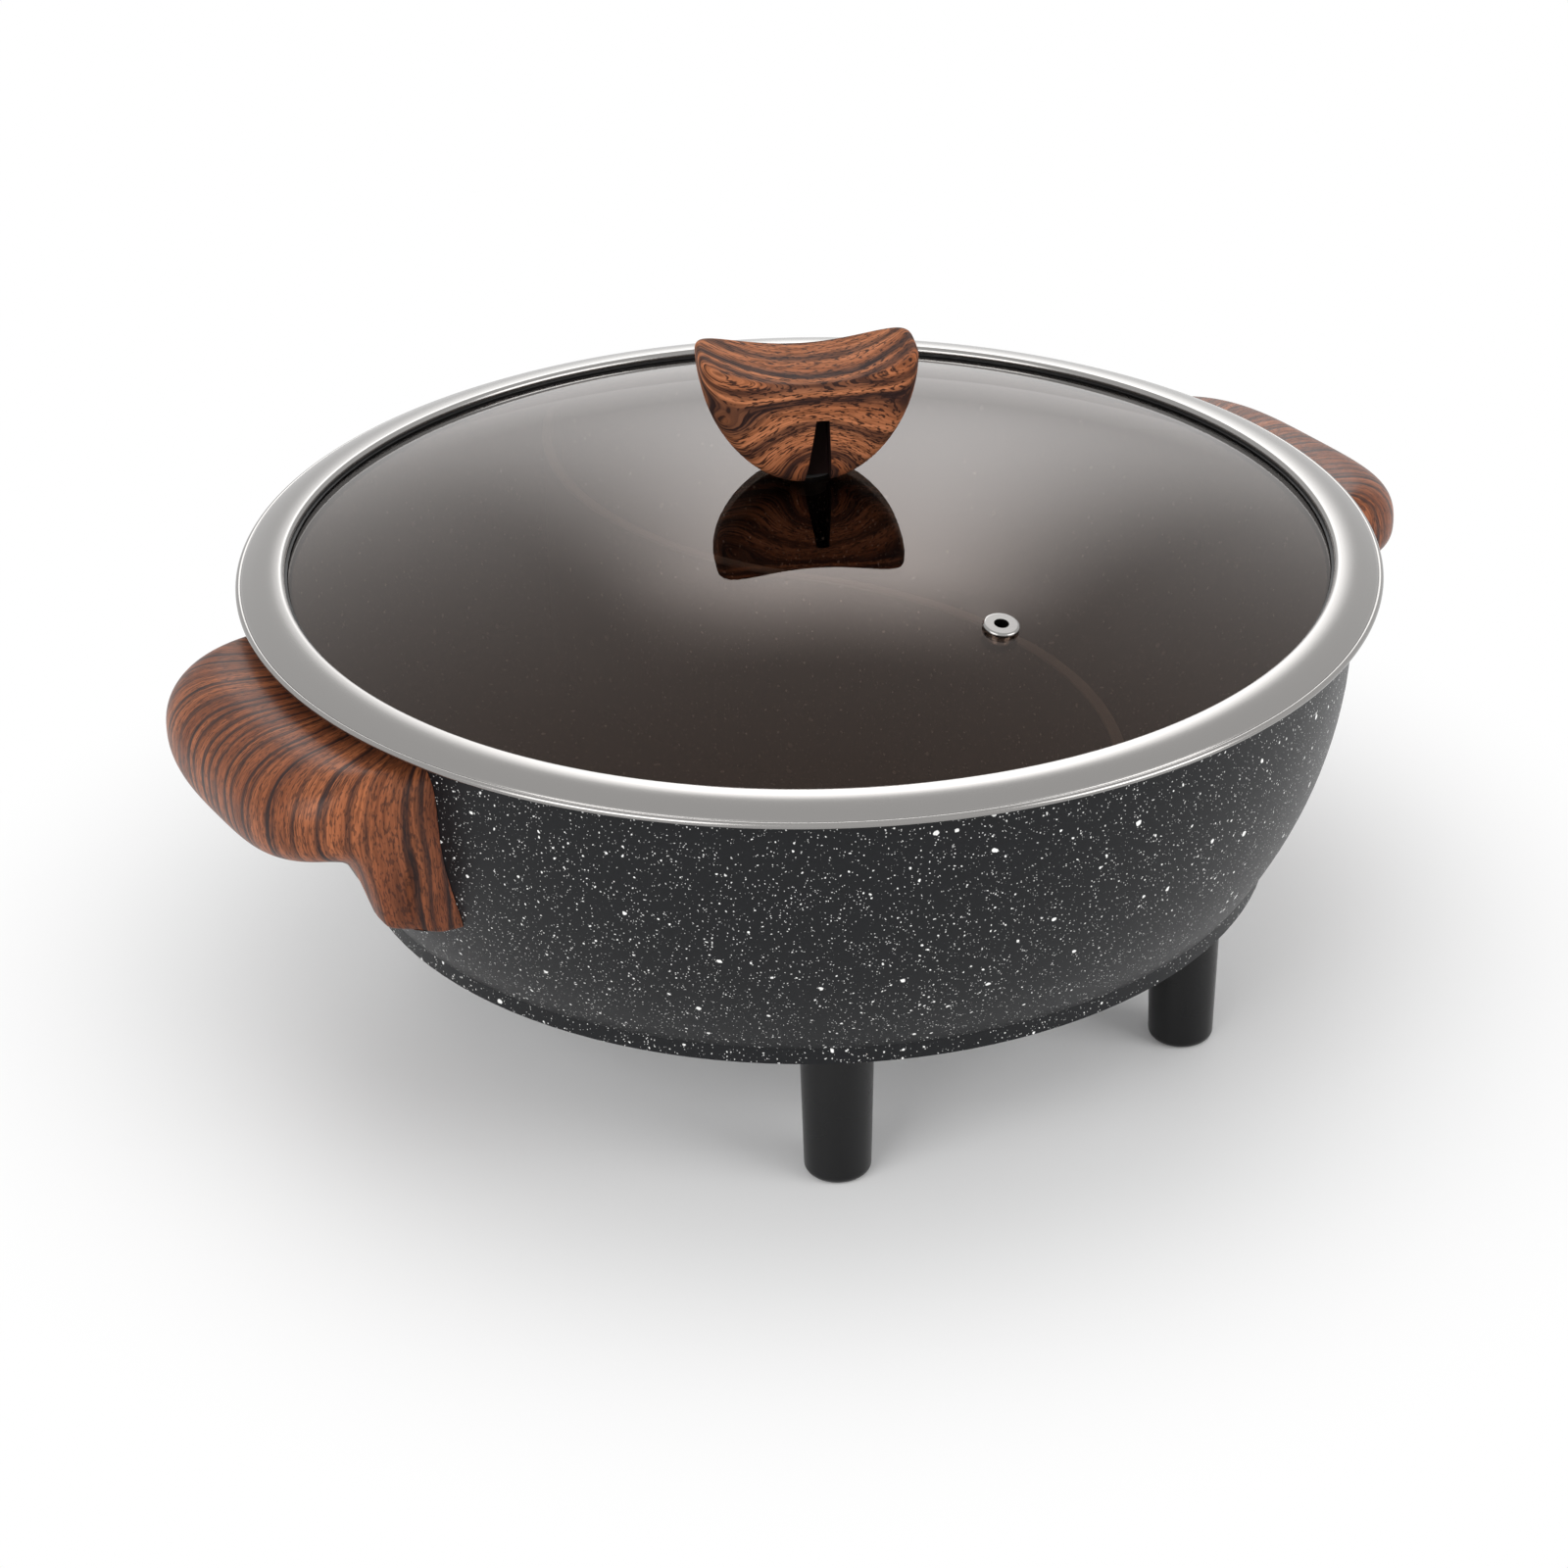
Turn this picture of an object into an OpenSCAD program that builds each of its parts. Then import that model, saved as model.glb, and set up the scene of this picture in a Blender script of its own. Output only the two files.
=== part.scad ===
// Electric hot pot with a divided bowl and a lift-off glass lid.
// The origin is on the table under the bowl's axis, +Z is up, and the handles lie along X.

/* [Bowl] */
// Outer diameter of the bowl's straight wall
bowl_d = 305; // [290:1:330]
// Height from the bowl's bottom edge to the lid's lower edge
bowl_h = 85.5; // [78:0.5:110]
// Height of the straight wall below the lid's lower edge
wall_straight = 13.5; // [8:0.5:20]
// Thickness of the bowl's wall
wall_t = 2.5; // [2:0.5:4]
// Thickness of the bowl's floor
floor_t = 4; // [3:0.5:6]
// Depth of the chamber under the floor
chamber_h = 9; // [8.5:0.5:14]
// Diameter where the curved side meets the base band
base_d = 264.5; // [256:0.5:280]
// Height of the band round the base
band_h = 5.2; // [4:0.2:8]
// Thickness of the band round the base
band_t = 3; // [2.5:0.5:5]
// Depth of the groove above the base band
band_groove = 0.6; // [0.2:0.1:1]
// Radius of the corner between the floor and the side
corner_r = 14; // [8:1:20]

/* [Divider] */
// Thickness of the divider wall
divider_t = 3; // [2:0.5:5]
// How far each half of the S bows out from the straight line
divider_bow = 27; // [15:1:40]
// Height of the lid's lower edge above the divider's top edge
divider_drop = 8; // [8:1:20]

/* [Legs and cover] */
// Height of the bowl's bottom edge above the table
leg_clear = 43.5; // [30:0.5:60]
// Diameter of a leg at its top
leg_top_d = 20.2; // [16:0.2:26]
// Diameter of a leg at its foot
leg_foot_d = 18.3; // [15:0.1:20]
// Radius of the foot's lower edge
foot_round = 2.5; // [1:0.5:3]
// Room between a leg and the inside of the base band
leg_edge_gap = 3.3; // [0.5:0.1:6]
// Angle of a leg from the handles' line
leg_angle = 59; // [50:1:65]
// Turn of the four legs about the bowl's axis
leg_turn = 2.5; // [-10:0.5:10]
// Thickness of the bottom cover
cover_t = 0.8; // [0.5:0.1:1.5]
// Height of the cover above the bowl's bottom edge
cover_inset = 0.5; // [0.3:0.1:1.5]
// Diameter of a leg screw
leg_screw_d = 4; // [3:0.5:5]
// Diameter of a screw boss under the floor
boss_d = 11; // [9:0.5:14]

/* [Lid] */
// How far the lid's rim reaches past the bowl's wall
lid_overhang = 7.5; // [5:0.5:10]
// How far the lid's rim reaches inside the bowl's wall
rim_reach = 3.7; // [3.4:0.1:5]
// Height of the rim's crest above its lower edge
rim_crest = 4.9; // [4.2:0.1:6]
// Radius of the rim's inner roll
rim_roll = 1.5; // [1.3:0.1:2]
// Thickness of the rim's sheet
rim_t = 1; // [0.8:0.1:1.2]
// Diameter of the bead along the rim's outer edge
rim_bead = 1.8; // [1.4:0.1:2.4]
// Height of the glass at its centre above the rim's lower edge
dome_h = 26.6; // [20:0.1:34]
// Height of the straight lip under the rim's inner roll
lip_h = 0.4; // [0.2:0.1:1]
// Thickness of the glass
glass_t = 4; // [3:0.5:5]
// Thickness of the seal round the glass
seal_t = 0.8; // [0.6:0.1:1]
// Width of the seal that shows inside the rim
seal_show = 0.7; // [0.4:0.1:1.2]
// Distance of the vent from the lid's centre
vent_offset = 95.5; // [70:0.5:120]
// Outer diameter of the vent grommet
vent_d = 9.8; // [9:0.2:14]
// Diameter of the vent's hole
vent_bore = 4; // [3:0.2:4.4]
// Thickness of the vent grommet's flanges
vent_flange = 1.3; // [0.8:0.1:2]

/* [Knob] */
// Width of the knob
knob_w = 60.5; // [50:0.5:75]
// Depth of the knob from front to back
knob_d = 33.5; // [28:0.5:40]
// Height of the knob at the middle of its saddle
knob_h = 30.4; // [29:0.1:40]
// Rise of the knob's tips above the middle of its saddle
knob_tip = 5.8; // [3:0.1:10]
// Radius of the edge round the knob's saddle
knob_edge = 2.1; // [1:0.1:3]
// Turn of the knob about the lid's axis
knob_turn = -24.5; // [-90:0.5:90]
// Width of the knob's notch at its base
notch_w = 7.6; // [5:0.2:9]
// Width of the knob's notch at its top
notch_top_w = 3.6; // [1:0.2:4]
// Distance of the notch's foot from the middle of the knob
notch_side = 1.3; // [0:0.1:2]
// Lean of the notch's top to the side
notch_lean = 1.1; // [0:0.1:2]
// Height of the knob's notch
notch_h = 20; // [10:1:22]
// Thickness of the core between the front and back notches
notch_core = 13; // [12.5:0.5:16]
// Diameter of the knob's threaded insert
insert_d = 9; // [8:0.5:10]
// Length of the knob's threaded insert
insert_len = 14; // [8:1:20]
// Diameter of the knob's screw
knob_screw_d = 5; // [4:0.5:6]
// Diameter of the washer under the glass
washer_d = 14; // [12:1:20]
// Thickness of the washer and of the gasket
washer_t = 0.8; // [0.6:0.1:1.5]

/* [Handles] */
// How far a handle reaches out from the bowl's wall
handle_reach = 33; // [28:1:40]
// Length of a handle along the wall
handle_len = 102; // [90:1:120]
// Height of the lid's lower edge above the handle's top
handle_drop = 3.5; // [3:0.5:10]
// Thickness of the handle's ear
ear_t = 29; // [26:0.5:32]
// Height of a handle from its top to the bottom of its feet
handle_h = 50; // [46:1:56]
// Rise of the ear's underside towards its ends
ear_rise = 3.4; // [0:0.1:6]
// Depth of the cove between the ear and the wall
cove_h = 3; // [0:0.5:8]
// Length of a foot along the wall
foot_len = 13; // [8:1:18]
// Thickness of a foot out from the wall's straight line
foot_out = 9; // [6:0.5:12]
// Rise of a foot's bottom away from the wall
foot_slope = 6.2; // [0:0.2:8]
// Depth of the flute in the end of a foot
flute_depth = 2.2; // [0:0.2:3]
// Width of a handle bracket
bracket_w = 32; // [20:1:40]
// Height of a handle bracket
bracket_h = 13; // [10:0.5:15]
// How far a handle bracket stands out from the wall
bracket_out = 10; // [8:0.5:12]
// Diameter of a handle screw
handle_screw_d = 4; // [3:0.5:5]

/* [Inlet] */
// Distance of the heating element's ring from the bowl's axis
element_r = 88; // [60:1:95]
// Diameter of the heating element's tube
element_d = 6.4; // [5:0.2:7]
// Distance between the two terminal pins
pin_gap = 22; // [18:1:26]
// Diameter of a terminal pin
pin_d = 4.8; // [4:0.2:5]
// Length of a terminal pin inside the shroud
pin_len = 16; // [10:0.5:17]
// Outer diameter of the probe tube
probe_d = 7; // [6.4:0.2:7.4]
// Bore of the probe tube
probe_bore = 5.6; // [4:0.1:6]
// Length of the probe tube inside the base band
probe_len = 70; // [40:1:90]
// Width of the socket in the inlet shroud
socket_w = 50; // [46:1:56]
// Height of the socket in the inlet shroud
socket_h = 20; // [16:1:22]
// Depth of the socket in the inlet shroud
socket_depth = 19; // [18:0.5:19]
// Thickness of the inlet shroud's walls
shroud_t = 2.5; // [2:0.5:3]
// Thickness of the inlet shroud's back, out from the base band
shroud_back = 6; // [5:0.5:6]
// Diameter of an inlet screw
inlet_screw_d = 3; // [2.5:0.5:3.5]

/* [Fits] */
// Gap between fixed pieces that sit in or on each other
fit_gap = 0.15; // [0.1:0.05:0.2]
// Gap between the lid and the bowl
lid_gap = 0.4; // [0.3:0.1:0.6]
// Gap between the lid's skirt and the inside of the bowl
skirt_gap = 0.6; // [0.5:0.1:1]

/* [Hidden] */

$fn = 96;
// Smoothness of the large arcs
arc_fn = 360;
// Reach of a cut past the face that it opens
cut = 1;

// Heights above the table
base_z = leg_clear;
rim_z = base_z + bowl_h;
shoulder_z = rim_z - wall_straight;
band_z = base_z + band_h;
under_z = base_z + chamber_h;
floor_z = under_z + floor_t;

// The bowl's side is an arc, upright at the shoulder, that runs down to the base band
bowl_r = bowl_d / 2;
bowl_in_r = bowl_r - wall_t;
base_r = base_d / 2;
side_in = bowl_r - base_r;
side_r = (pow(side_in, 2) + pow(shoulder_z - band_z, 2)) / (2 * side_in);
side_x = bowl_r - side_r;
band_r = base_r - band_groove;
chamber_r = band_r - band_t;

// The corner between the floor and the side touches both
corner_z = floor_z + corner_r;
corner_x = side_x + sqrt(pow(side_r - wall_t - corner_r, 2) - pow(shoulder_z - corner_z, 2));

// Each half of the divider's S is an arc over half of the bowl's inside, and a core joins the two
divider_r = (pow(bowl_in_r / 2, 2) + pow(divider_bow, 2)) / (2 * divider_bow);
divider_turn = atan2(bowl_in_r / 2, divider_r - divider_bow);

// The lid's rim: an arched band between the crest and the bead, with a skirt inside the bowl
rim_out_r = bowl_r + lid_overhang;
rim_in_r = bowl_in_r - rim_reach;
crest_r = rim_in_r + rim_roll;
crest_z = rim_z + rim_crest;
bead_r = rim_out_r - rim_bead / 2;
arch_rise = rim_crest - rim_bead;
arch_r = (pow(bead_r - crest_r, 2) + pow(arch_rise, 2)) / (2 * arch_rise);
arch_z = crest_z - arch_r;
skirt_out_r = bowl_in_r - skirt_gap;
skirt_in_r = skirt_out_r - rim_t;
lip_z = arch_z + sqrt(pow(arch_r - rim_t, 2) - pow(bowl_r - crest_r, 2)) - lid_gap;

// The glass is part of a sphere
dome_z = rim_z + dome_h;
seal_top = crest_z - rim_roll - lip_h;
dome_rise = dome_z - seal_top + seal_t;
dome_r = (pow(rim_in_r, 2) + pow(dome_rise, 2)) / (2 * dome_rise);
dome_centre = dome_z - dome_r;
glass_r = skirt_in_r - seal_t;
glass_low = dome_centre + sqrt(pow(dome_r - glass_t, 2) - pow(glass_r, 2));
seal_low = glass_low - seal_t;
skirt_low = seal_low - fit_gap - rim_t;
vent_tilt = asin(vent_offset / dome_r);

// The knob stands on a gasket at the top of the glass
knob_z = dome_z + fit_gap + washer_t;
washer_z = dome_z - glass_t - fit_gap - washer_t;
knob_hole_d = knob_screw_d + 2;
insert_hole_d = insert_d + 2 * fit_gap;
knob_swell = 1.04;
knob_full = 0.32;
knob_square = 4;
knob_start = 15;
knob_head_h = 0.7 * knob_screw_d;

// Legs and cover
cover_z = base_z + cover_inset;
leg_circle_r = chamber_r - leg_top_d / 2 - leg_edge_gap;
leg_bore_d = 2.2 * leg_screw_d;
leg_web = 8;
leg_screw_hole_d = leg_screw_d + 2 * fit_gap;
leg_screw_head_h = 0.6 * leg_screw_d;
leg_screw_end = under_z - 1;
leg_angles = [for (a = [180 + leg_angle, -leg_angle, 180 - leg_angle, leg_angle]) a + leg_turn];

// Heating element, pins and probe tube
element_z = under_z - 2 * fit_gap - element_d / 2;
element_bend = 9;
sleeve_len = 2;
bend_x = pin_gap / 2 + element_bend;
bend_y = sqrt(pow(element_r + element_bend, 2) - pow(bend_x, 2));
bend_angle = atan2(bend_y, bend_x);
probe_z = under_z - 2 * fit_gap - probe_d / 2;
shroud_y = base_r + shroud_back;
socket_z = element_z;
inlet_screw_x = (pin_gap + socket_w) / 4 + 1;
inlet_head_h = 0.7 * inlet_screw_d;
inlet_gap_w = pin_gap + element_d + 2;

// Handles
handle_top = rim_z - handle_drop;
ear_mid = handle_top - ear_t / 2;
ear_low = handle_top - ear_t;
handle_x = bowl_r + handle_reach;
handle_centre_x = bowl_r - 15;
handle_a = handle_x - handle_centre_x;
handle_b = handle_len / 2;
handle_square = 3.6;
top_roll = [17.8, 5.6];
top_curve = 0.88;
low_roll = [8, 2.5];
ear_roll = 19;
bracket_z = ear_mid - 3;
bracket_x = bowl_r + bracket_out;
handle_screw_x = bowl_r + 0.55 * bracket_out;
handle_web = 3.5;
handle_seat_z = bracket_z - bracket_h / 2 - fit_gap - handle_web;
handle_head_h = 0.7 * handle_screw_d;

// A smooth step from 0 to 1 as v goes from a to b
function ease(a, b, v) =
    let (t = min(1, max(0, (v - a) / (b - a))))
    t * t * (3 - 2 * t);

// A point of a rounded rectangle of half sizes a and b, at the polar angle t
function round_rect(a, b, n, t) =
    let (r = pow(pow(abs(cos(t)) / a, n) + pow(abs(sin(t)) / b, n), -1 / n))
    [r * cos(t), r * sin(t)];

// Triangles that join rings of n points, closed at both ends by one point each
function ring_faces(rings, n) =
    let (last = 1 + rings * n)
    concat(
        [for (i = [0 : n - 1]) [0, 1 + (i + 1) % n, 1 + i]],
        [for (k = [0 : rings - 2], i = [0 : n - 1])
            let (p = 1 + k * n, j = (i + 1) % n)
            each [[p + i, p + j, p + n + i], [p + j, p + n + j, p + n + i]]],
        [for (i = [0 : n - 1]) let (p = 1 + (rings - 1) * n) [last, p + i, p + (i + 1) % n]]
    );

// Underside of a handle at a point of its plan
function handle_under(x, y) =
    let (
        foot = ease(handle_b - foot_len - 5, handle_b - foot_len + 5, abs(y))
            * ease(bowl_r + foot_out + 4, bowl_r + foot_out - 4, x),
        cove = ease(bowl_r + 19, bowl_r + 3, x),
        ear = ear_low + ear_rise * pow(y / handle_b, 2),
        slope = foot_slope * ease(bowl_r + foot_out, bowl_r - 10, x)
    )
    (1 - foot) * (ear - cove_h * cove) + foot * (handle_top - handle_h + foot_slope - slope);

// How far the flute draws in the end of a foot
function handle_flute(x, z) =
    flute_depth * exp(-pow((x - bowl_r + 4) / 5, 2)) * ease(ear_mid, ear_low - 6, z);

// A handle's point: plan angle t, side 1 over or -1 under, and turn b from the edge to the middle
function handle_point(t, side, b) =
    let (
        edge = round_rect(handle_a, handle_b, handle_square, t),
        out = ease(foot_out - 3, foot_out + 9, handle_centre_x + edge.x - bowl_r),
        roll = side > 0 ? top_roll : [low_roll.x, low_roll.y + (ear_roll - low_roll.y) * out],
        turn = min(b, 90),
        in = 1 - pow(cos(turn), side > 0 ? top_curve : 1),
        left = 1 - max(0, b - 90) / 90,
        p = round_rect((handle_a - roll.x * in) * left, (handle_b - roll.y * in) * left, handle_square, t),
        x = handle_centre_x + p.x,
        goal = side > 0 ? handle_top : handle_under(x, p.y),
        z = ear_mid + (goal - ear_mid) * pow(sin(turn), side > 0 ? top_curve : 0.6 + 0.2 * out),
        flute = b <= 90 ? handle_flute(x, z) : 0
    )
    [x, p.y - sign(p.y) * min(abs(p.y), flute), z];

module handle_body() {
    n = 72;
    over = [for (b = [166, 146, 126, 106, 90, 75, 60, 45, 30, 15, 0]) [1, b]];
    under = [for (b = [18, 36, 54, 72, 90, 100, 110, 120, 130, 140, 150, 160, 170]) [-1, b]];
    steps = concat(over, under);
    points = concat(
        [[handle_centre_x, 0, handle_top]],
        [for (s = steps, i = [0 : n - 1]) handle_point(i * 360 / n, s[0], s[1])],
        [[handle_centre_x, 0, handle_under(handle_centre_x, 0)]]
    );
    polyhedron(points, ring_faces(len(steps), n));
}

// Height of the knob's saddle above its base, at a distance x from the middle
function saddle(x) = knob_h + knob_tip * pow(x / (knob_w / 2), 2);

// A knob's point: plan angle t, part 0 body, 1 edge or 2 top, and turn b along that part
function knob_point(t, part, b) =
    let (
        wide = round_rect(knob_w / 2, knob_d / 2, knob_square, t),
        body_h = saddle(wide.x) - knob_edge,
        grow = part == 0 ? pow(sin(b), knob_swell) : 1,
        up = part == 0 ? 1 - pow(cos(b) / cos(knob_start), knob_swell) : 1,
        in = part == 0 ? 0 : knob_edge * (part == 1 ? 1 - cos(b) : 1),
        left = part == 2 ? b : 1,
        p = round_rect((knob_w / 2 * grow - in) * left,
            (knob_d / 2 * pow(grow, knob_full) - in) * left, knob_square, t),
        lift = part == 0 ? 0 : (part == 1 ? sin(b) : 1)
    )
    [p.x, p.y, body_h * up + lift * (saddle(p.x) - body_h)];

module knob_body() {
    n = 64;
    body = [for (k = [0 : 9]) [0, knob_start + (90 - knob_start) * k / 9]];
    edge = [for (k = [1 : 5]) [1, 18 * k]];
    top = [for (k = [1 : 4]) [2, 1 - k / 5]];
    steps = concat(body, edge, top);
    points = concat(
        [[0, 0, 0]],
        [for (s = steps, i = [0 : n - 1]) knob_point(-i * 360 / n, s[0], s[1])],
        [[0, 0, knob_h]]
    );
    polyhedron(points, ring_faces(len(steps), n));
}

// Section of the bowl's outside, grown by a gap
module bowl_outside(grow = 0) {
    translate([0, shoulder_z])
        square([bowl_r + grow, lip_z - shoulder_z]);
    intersection() {
        translate([side_x, shoulder_z])
            circle(side_r + grow, $fn = arc_fn);
        translate([0, band_z])
            square([bowl_r + grow, shoulder_z - band_z]);
    }
    translate([0, base_z])
        square([band_r + grow, band_h]);
}

// Section of the bowl's inside, drawn in by a gap, with the corner in short steps
module bowl_inside(gap = 0) {
    steps = 8;
    turn = 90 + atan2(corner_z - shoulder_z, corner_x - side_x);
    corner = [for (k = [0 : steps]) let (a = turn * k / steps - 90)
        [corner_x, corner_z] + (corner_r - gap) * [cos(a), sin(a)]];
    beyond = corner[steps] + 4 * (corner[steps] - corner[steps - 1]);
    top = lip_z + cut;
    intersection() {
        union() {
            translate([0, shoulder_z])
                square([bowl_in_r - gap, top - shoulder_z]);
            intersection() {
                translate([side_x, shoulder_z])
                    circle(side_r - wall_t - gap, $fn = arc_fn);
                square([bowl_in_r, shoulder_z]);
            }
        }
        polygon(concat([[0, top + cut], [0, floor_z + gap]], corner,
            [beyond, [bowl_r, beyond.y], [bowl_r, top + cut]]));
    }
}

module at_legs() {
    for (a = leg_angles)
        rotate(a)
            translate([leg_circle_r, 0])
                children();
}

module at_pins() {
    for (side = [-1, 1])
        translate([side * pin_gap / 2, 0, element_z])
            rotate([-90, 0, 0])
                children();
}

module at_inlet_screws() {
    for (side = [-1, 1])
        translate([side * inlet_screw_x, 0, socket_z])
            rotate([-90, 0, 0])
                children();
}

module pot_bowl() {
    color("dimgray")
        difference() {
            union() {
                rotate_extrude($fn = arc_fn)
                    difference() {
                        bowl_outside();
                        bowl_inside();
                        translate([0, base_z - cut])
                            square([chamber_r, chamber_h + cut]);
                    }
                at_legs()
                    translate([0, 0, cover_z + cover_t])
                        cylinder(d = boss_d, h = under_z + floor_t / 2 - cover_z - cover_t);
            }
            at_legs()
                translate([0, 0, cover_z])
                    cylinder(d = leg_screw_hole_d, h = leg_screw_end + cut - cover_z);
            at_inlet_screws()
                cylinder(d = inlet_screw_d + 2 * fit_gap, h = bowl_r);
            translate([-inlet_gap_w / 2, 0, base_z - cut])
                cube([inlet_gap_w, bowl_r, chamber_h + cut]);
        }
}

// One half of the S is an arc from the bowl's axis to its wall
module divider_half() {
    translate([divider_bow - divider_r, -bowl_in_r / 2])
        rotate(divider_turn)
            intersection() {
                difference() {
                    circle(divider_r + divider_t / 2, $fn = arc_fn);
                    circle(divider_r - divider_t / 2, $fn = arc_fn);
                }
                translate([0, -2 * divider_r])
                    square(2 * divider_r);
            }
}

module divider_wall() {
    color("dimgray")
        intersection() {
            translate([0, 0, floor_z])
                linear_extrude(rim_z - divider_drop - floor_z)
                    union() {
                        divider_half();
                        rotate(180)
                            divider_half();
                        rotate(divider_turn)
                            square([0.8, 2] * divider_t, center = true);
                    }
            rotate_extrude($fn = arc_fn)
                bowl_inside(fit_gap);
        }
}

module bottom_cover() {
    color("silver")
        difference() {
            translate([0, 0, cover_z])
                cylinder(r = chamber_r - fit_gap, h = cover_t);
            at_legs()
                translate([0, 0, cover_z - cut])
                    cylinder(d = leg_screw_hole_d, h = cover_t + 2 * cut);
        }
}

module leg(i) {
    foot_r = leg_foot_d / 2;
    round_r = foot_r - foot_round;
    color("black")
        rotate(leg_angles[i])
            translate([leg_circle_r, 0])
                difference() {
                    rotate_extrude($fn = arc_fn)
                        union() {
                            polygon([[0, foot_round], [foot_r, foot_round],
                                [leg_top_d / 2, cover_z], [0, cover_z]]);
                            translate([round_r, foot_round])
                                intersection() {
                                    circle(foot_round);
                                    translate([0, -foot_round])
                                        square(foot_round);
                                }
                            square([round_r, foot_round]);
                        }
                    translate([0, 0, -cut])
                        cylinder(d = leg_bore_d, h = cover_z - leg_web + cut);
                    cylinder(d = leg_screw_hole_d, h = cover_z + cut);
                }
}

module leg_screws() {
    seat = cover_z - leg_web;
    color("gray")
        at_legs() {
            translate([0, 0, seat])
                cylinder(d = leg_screw_d, h = leg_screw_end - seat);
            translate([0, 0, seat - leg_screw_head_h])
                cylinder(d = 1.9 * leg_screw_d, h = leg_screw_head_h);
        }
}

module heating_element() {
    color("darkgray")
        translate([0, 0, element_z]) {
            rotate(180 - bend_angle)
                rotate_extrude(angle = 180 + 2 * bend_angle)
                    translate([element_r, 0])
                        circle(d = element_d);
            for (side = [0, 1])
                mirror([side, 0, 0]) {
                    translate([bend_x, bend_y])
                        rotate(180)
                            rotate_extrude(angle = bend_angle)
                                translate([element_bend, 0])
                                    circle(d = element_d);
                    translate([pin_gap / 2, bend_y])
                        rotate([-90, 0, 0])
                            cylinder(d = element_d, h = shroud_y - bend_y);
                    rotate(bend_angle)
                        translate([element_r, -sleeve_len / 2, 0])
                            rotate([-90, 0, 0])
                                cylinder(d = element_d + 2 * fit_gap, h = sleeve_len);
                }
        }
}

module terminal_pin(side) {
    tip = 1;
    color("gainsboro")
        translate([side * pin_gap / 2, shroud_y, element_z])
            rotate([-90, 0, 0]) {
                cylinder(d = pin_d, h = pin_len - tip);
                translate([0, 0, pin_len - tip])
                    cylinder(d1 = pin_d, d2 = pin_d - 2 * tip, h = tip);
            }
}

module probe_tube() {
    color("silver")
        translate([0, chamber_r - probe_len, probe_z])
            rotate([-90, 0, 0])
                difference() {
                    cylinder(d = probe_d, h = shroud_y - chamber_r + probe_len);
                    translate([0, 0, cut])
                        cylinder(d = probe_bore, h = shroud_y - chamber_r + probe_len);
                }
}

module inlet_shroud() {
    width = socket_w + 2 * shroud_t;
    height = socket_h + 2 * shroud_t;
    start = chamber_r - shroud_t;
    color("black")
        difference() {
            translate([-width / 2, start, socket_z - height / 2])
                cube([width, shroud_y + socket_depth - start, height]);
            translate([-socket_w / 2, shroud_y, socket_z - socket_h / 2])
                cube([socket_w, socket_depth + cut, socket_h]);
            rotate_extrude($fn = arc_fn)
                bowl_outside(fit_gap);
            translate([-width, 0, 0])
                cube([2 * width, base_r + fit_gap, base_z + fit_gap]);
            at_pins()
                cylinder(d = element_d + 2 * fit_gap, h = shroud_y + cut);
            at_inlet_screws()
                cylinder(d = inlet_screw_d + 2 * fit_gap, h = shroud_y + cut);
            translate([0, 0, probe_z])
                rotate([-90, 0, 0])
                    cylinder(d = probe_d + 2 * fit_gap, h = shroud_y + cut);
        }
}

module inlet_screws() {
    start = chamber_r - 6;
    color("gray")
        at_inlet_screws() {
            translate([0, 0, start])
                cylinder(d = inlet_screw_d, h = shroud_y - start);
            translate([0, 0, shroud_y])
                cylinder(d = 1.8 * inlet_screw_d, h = inlet_head_h);
        }
}

module handle(turn) {
    color("sienna")
        rotate(turn)
            difference() {
                handle_body();
                rotate_extrude($fn = arc_fn)
                    bowl_outside(fit_gap);
                translate([0, -bracket_w / 2 - fit_gap, bracket_z - bracket_h / 2 - fit_gap])
                    cube([bracket_x + fit_gap, bracket_w + 2 * fit_gap, bracket_h + 2 * fit_gap]);
                translate([handle_screw_x, 0, handle_seat_z - handle_h])
                    cylinder(d = 2.2 * handle_screw_d, h = handle_h);
                translate([handle_screw_x, 0, handle_seat_z - cut])
                    cylinder(d = handle_screw_d + 2 * fit_gap, h = handle_web + 2 * cut);
            }
}

module handle_bracket(turn) {
    color("silver")
        rotate(turn)
            difference() {
                translate([bowl_r - wall_t, -bracket_w / 2, bracket_z - bracket_h / 2])
                    cube([bracket_out + wall_t, bracket_w, bracket_h]);
                rotate_extrude($fn = arc_fn)
                    bowl_outside(fit_gap);
                translate([handle_screw_x, 0, bracket_z - bracket_h / 2 - cut])
                    cylinder(d = handle_screw_d + 2 * fit_gap, h = bracket_h + 2 * cut);
            }
}

module handle_screws() {
    color("gray")
        for (turn = [0, 180])
            rotate(turn)
                translate([handle_screw_x, 0, handle_seat_z]) {
                    cylinder(d = handle_screw_d, h = handle_web + fit_gap + bracket_h - cut);
                    translate([0, 0, -handle_head_h])
                        cylinder(d = 1.9 * handle_screw_d, h = handle_head_h);
                }
}

// Section of the glass, grown by a gap
module glass_section(grow = 0) {
    intersection() {
        translate([0, dome_centre])
            difference() {
                circle(dome_r + grow, $fn = 4 * arc_fn);
                circle(dome_r - glass_t - grow, $fn = 4 * arc_fn);
            }
        translate([0, glass_low - 2 * glass_t])
            square([glass_r + grow, dome_z + 3 * glass_t - glass_low]);
    }
}

// Places what follows on the glass at the vent, with Z along the glass's normal
module at_vent() {
    translate([0, 0, dome_centre])
        rotate([vent_tilt, 0, 0])
            translate([0, 0, dome_r])
                children();
}

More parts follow.
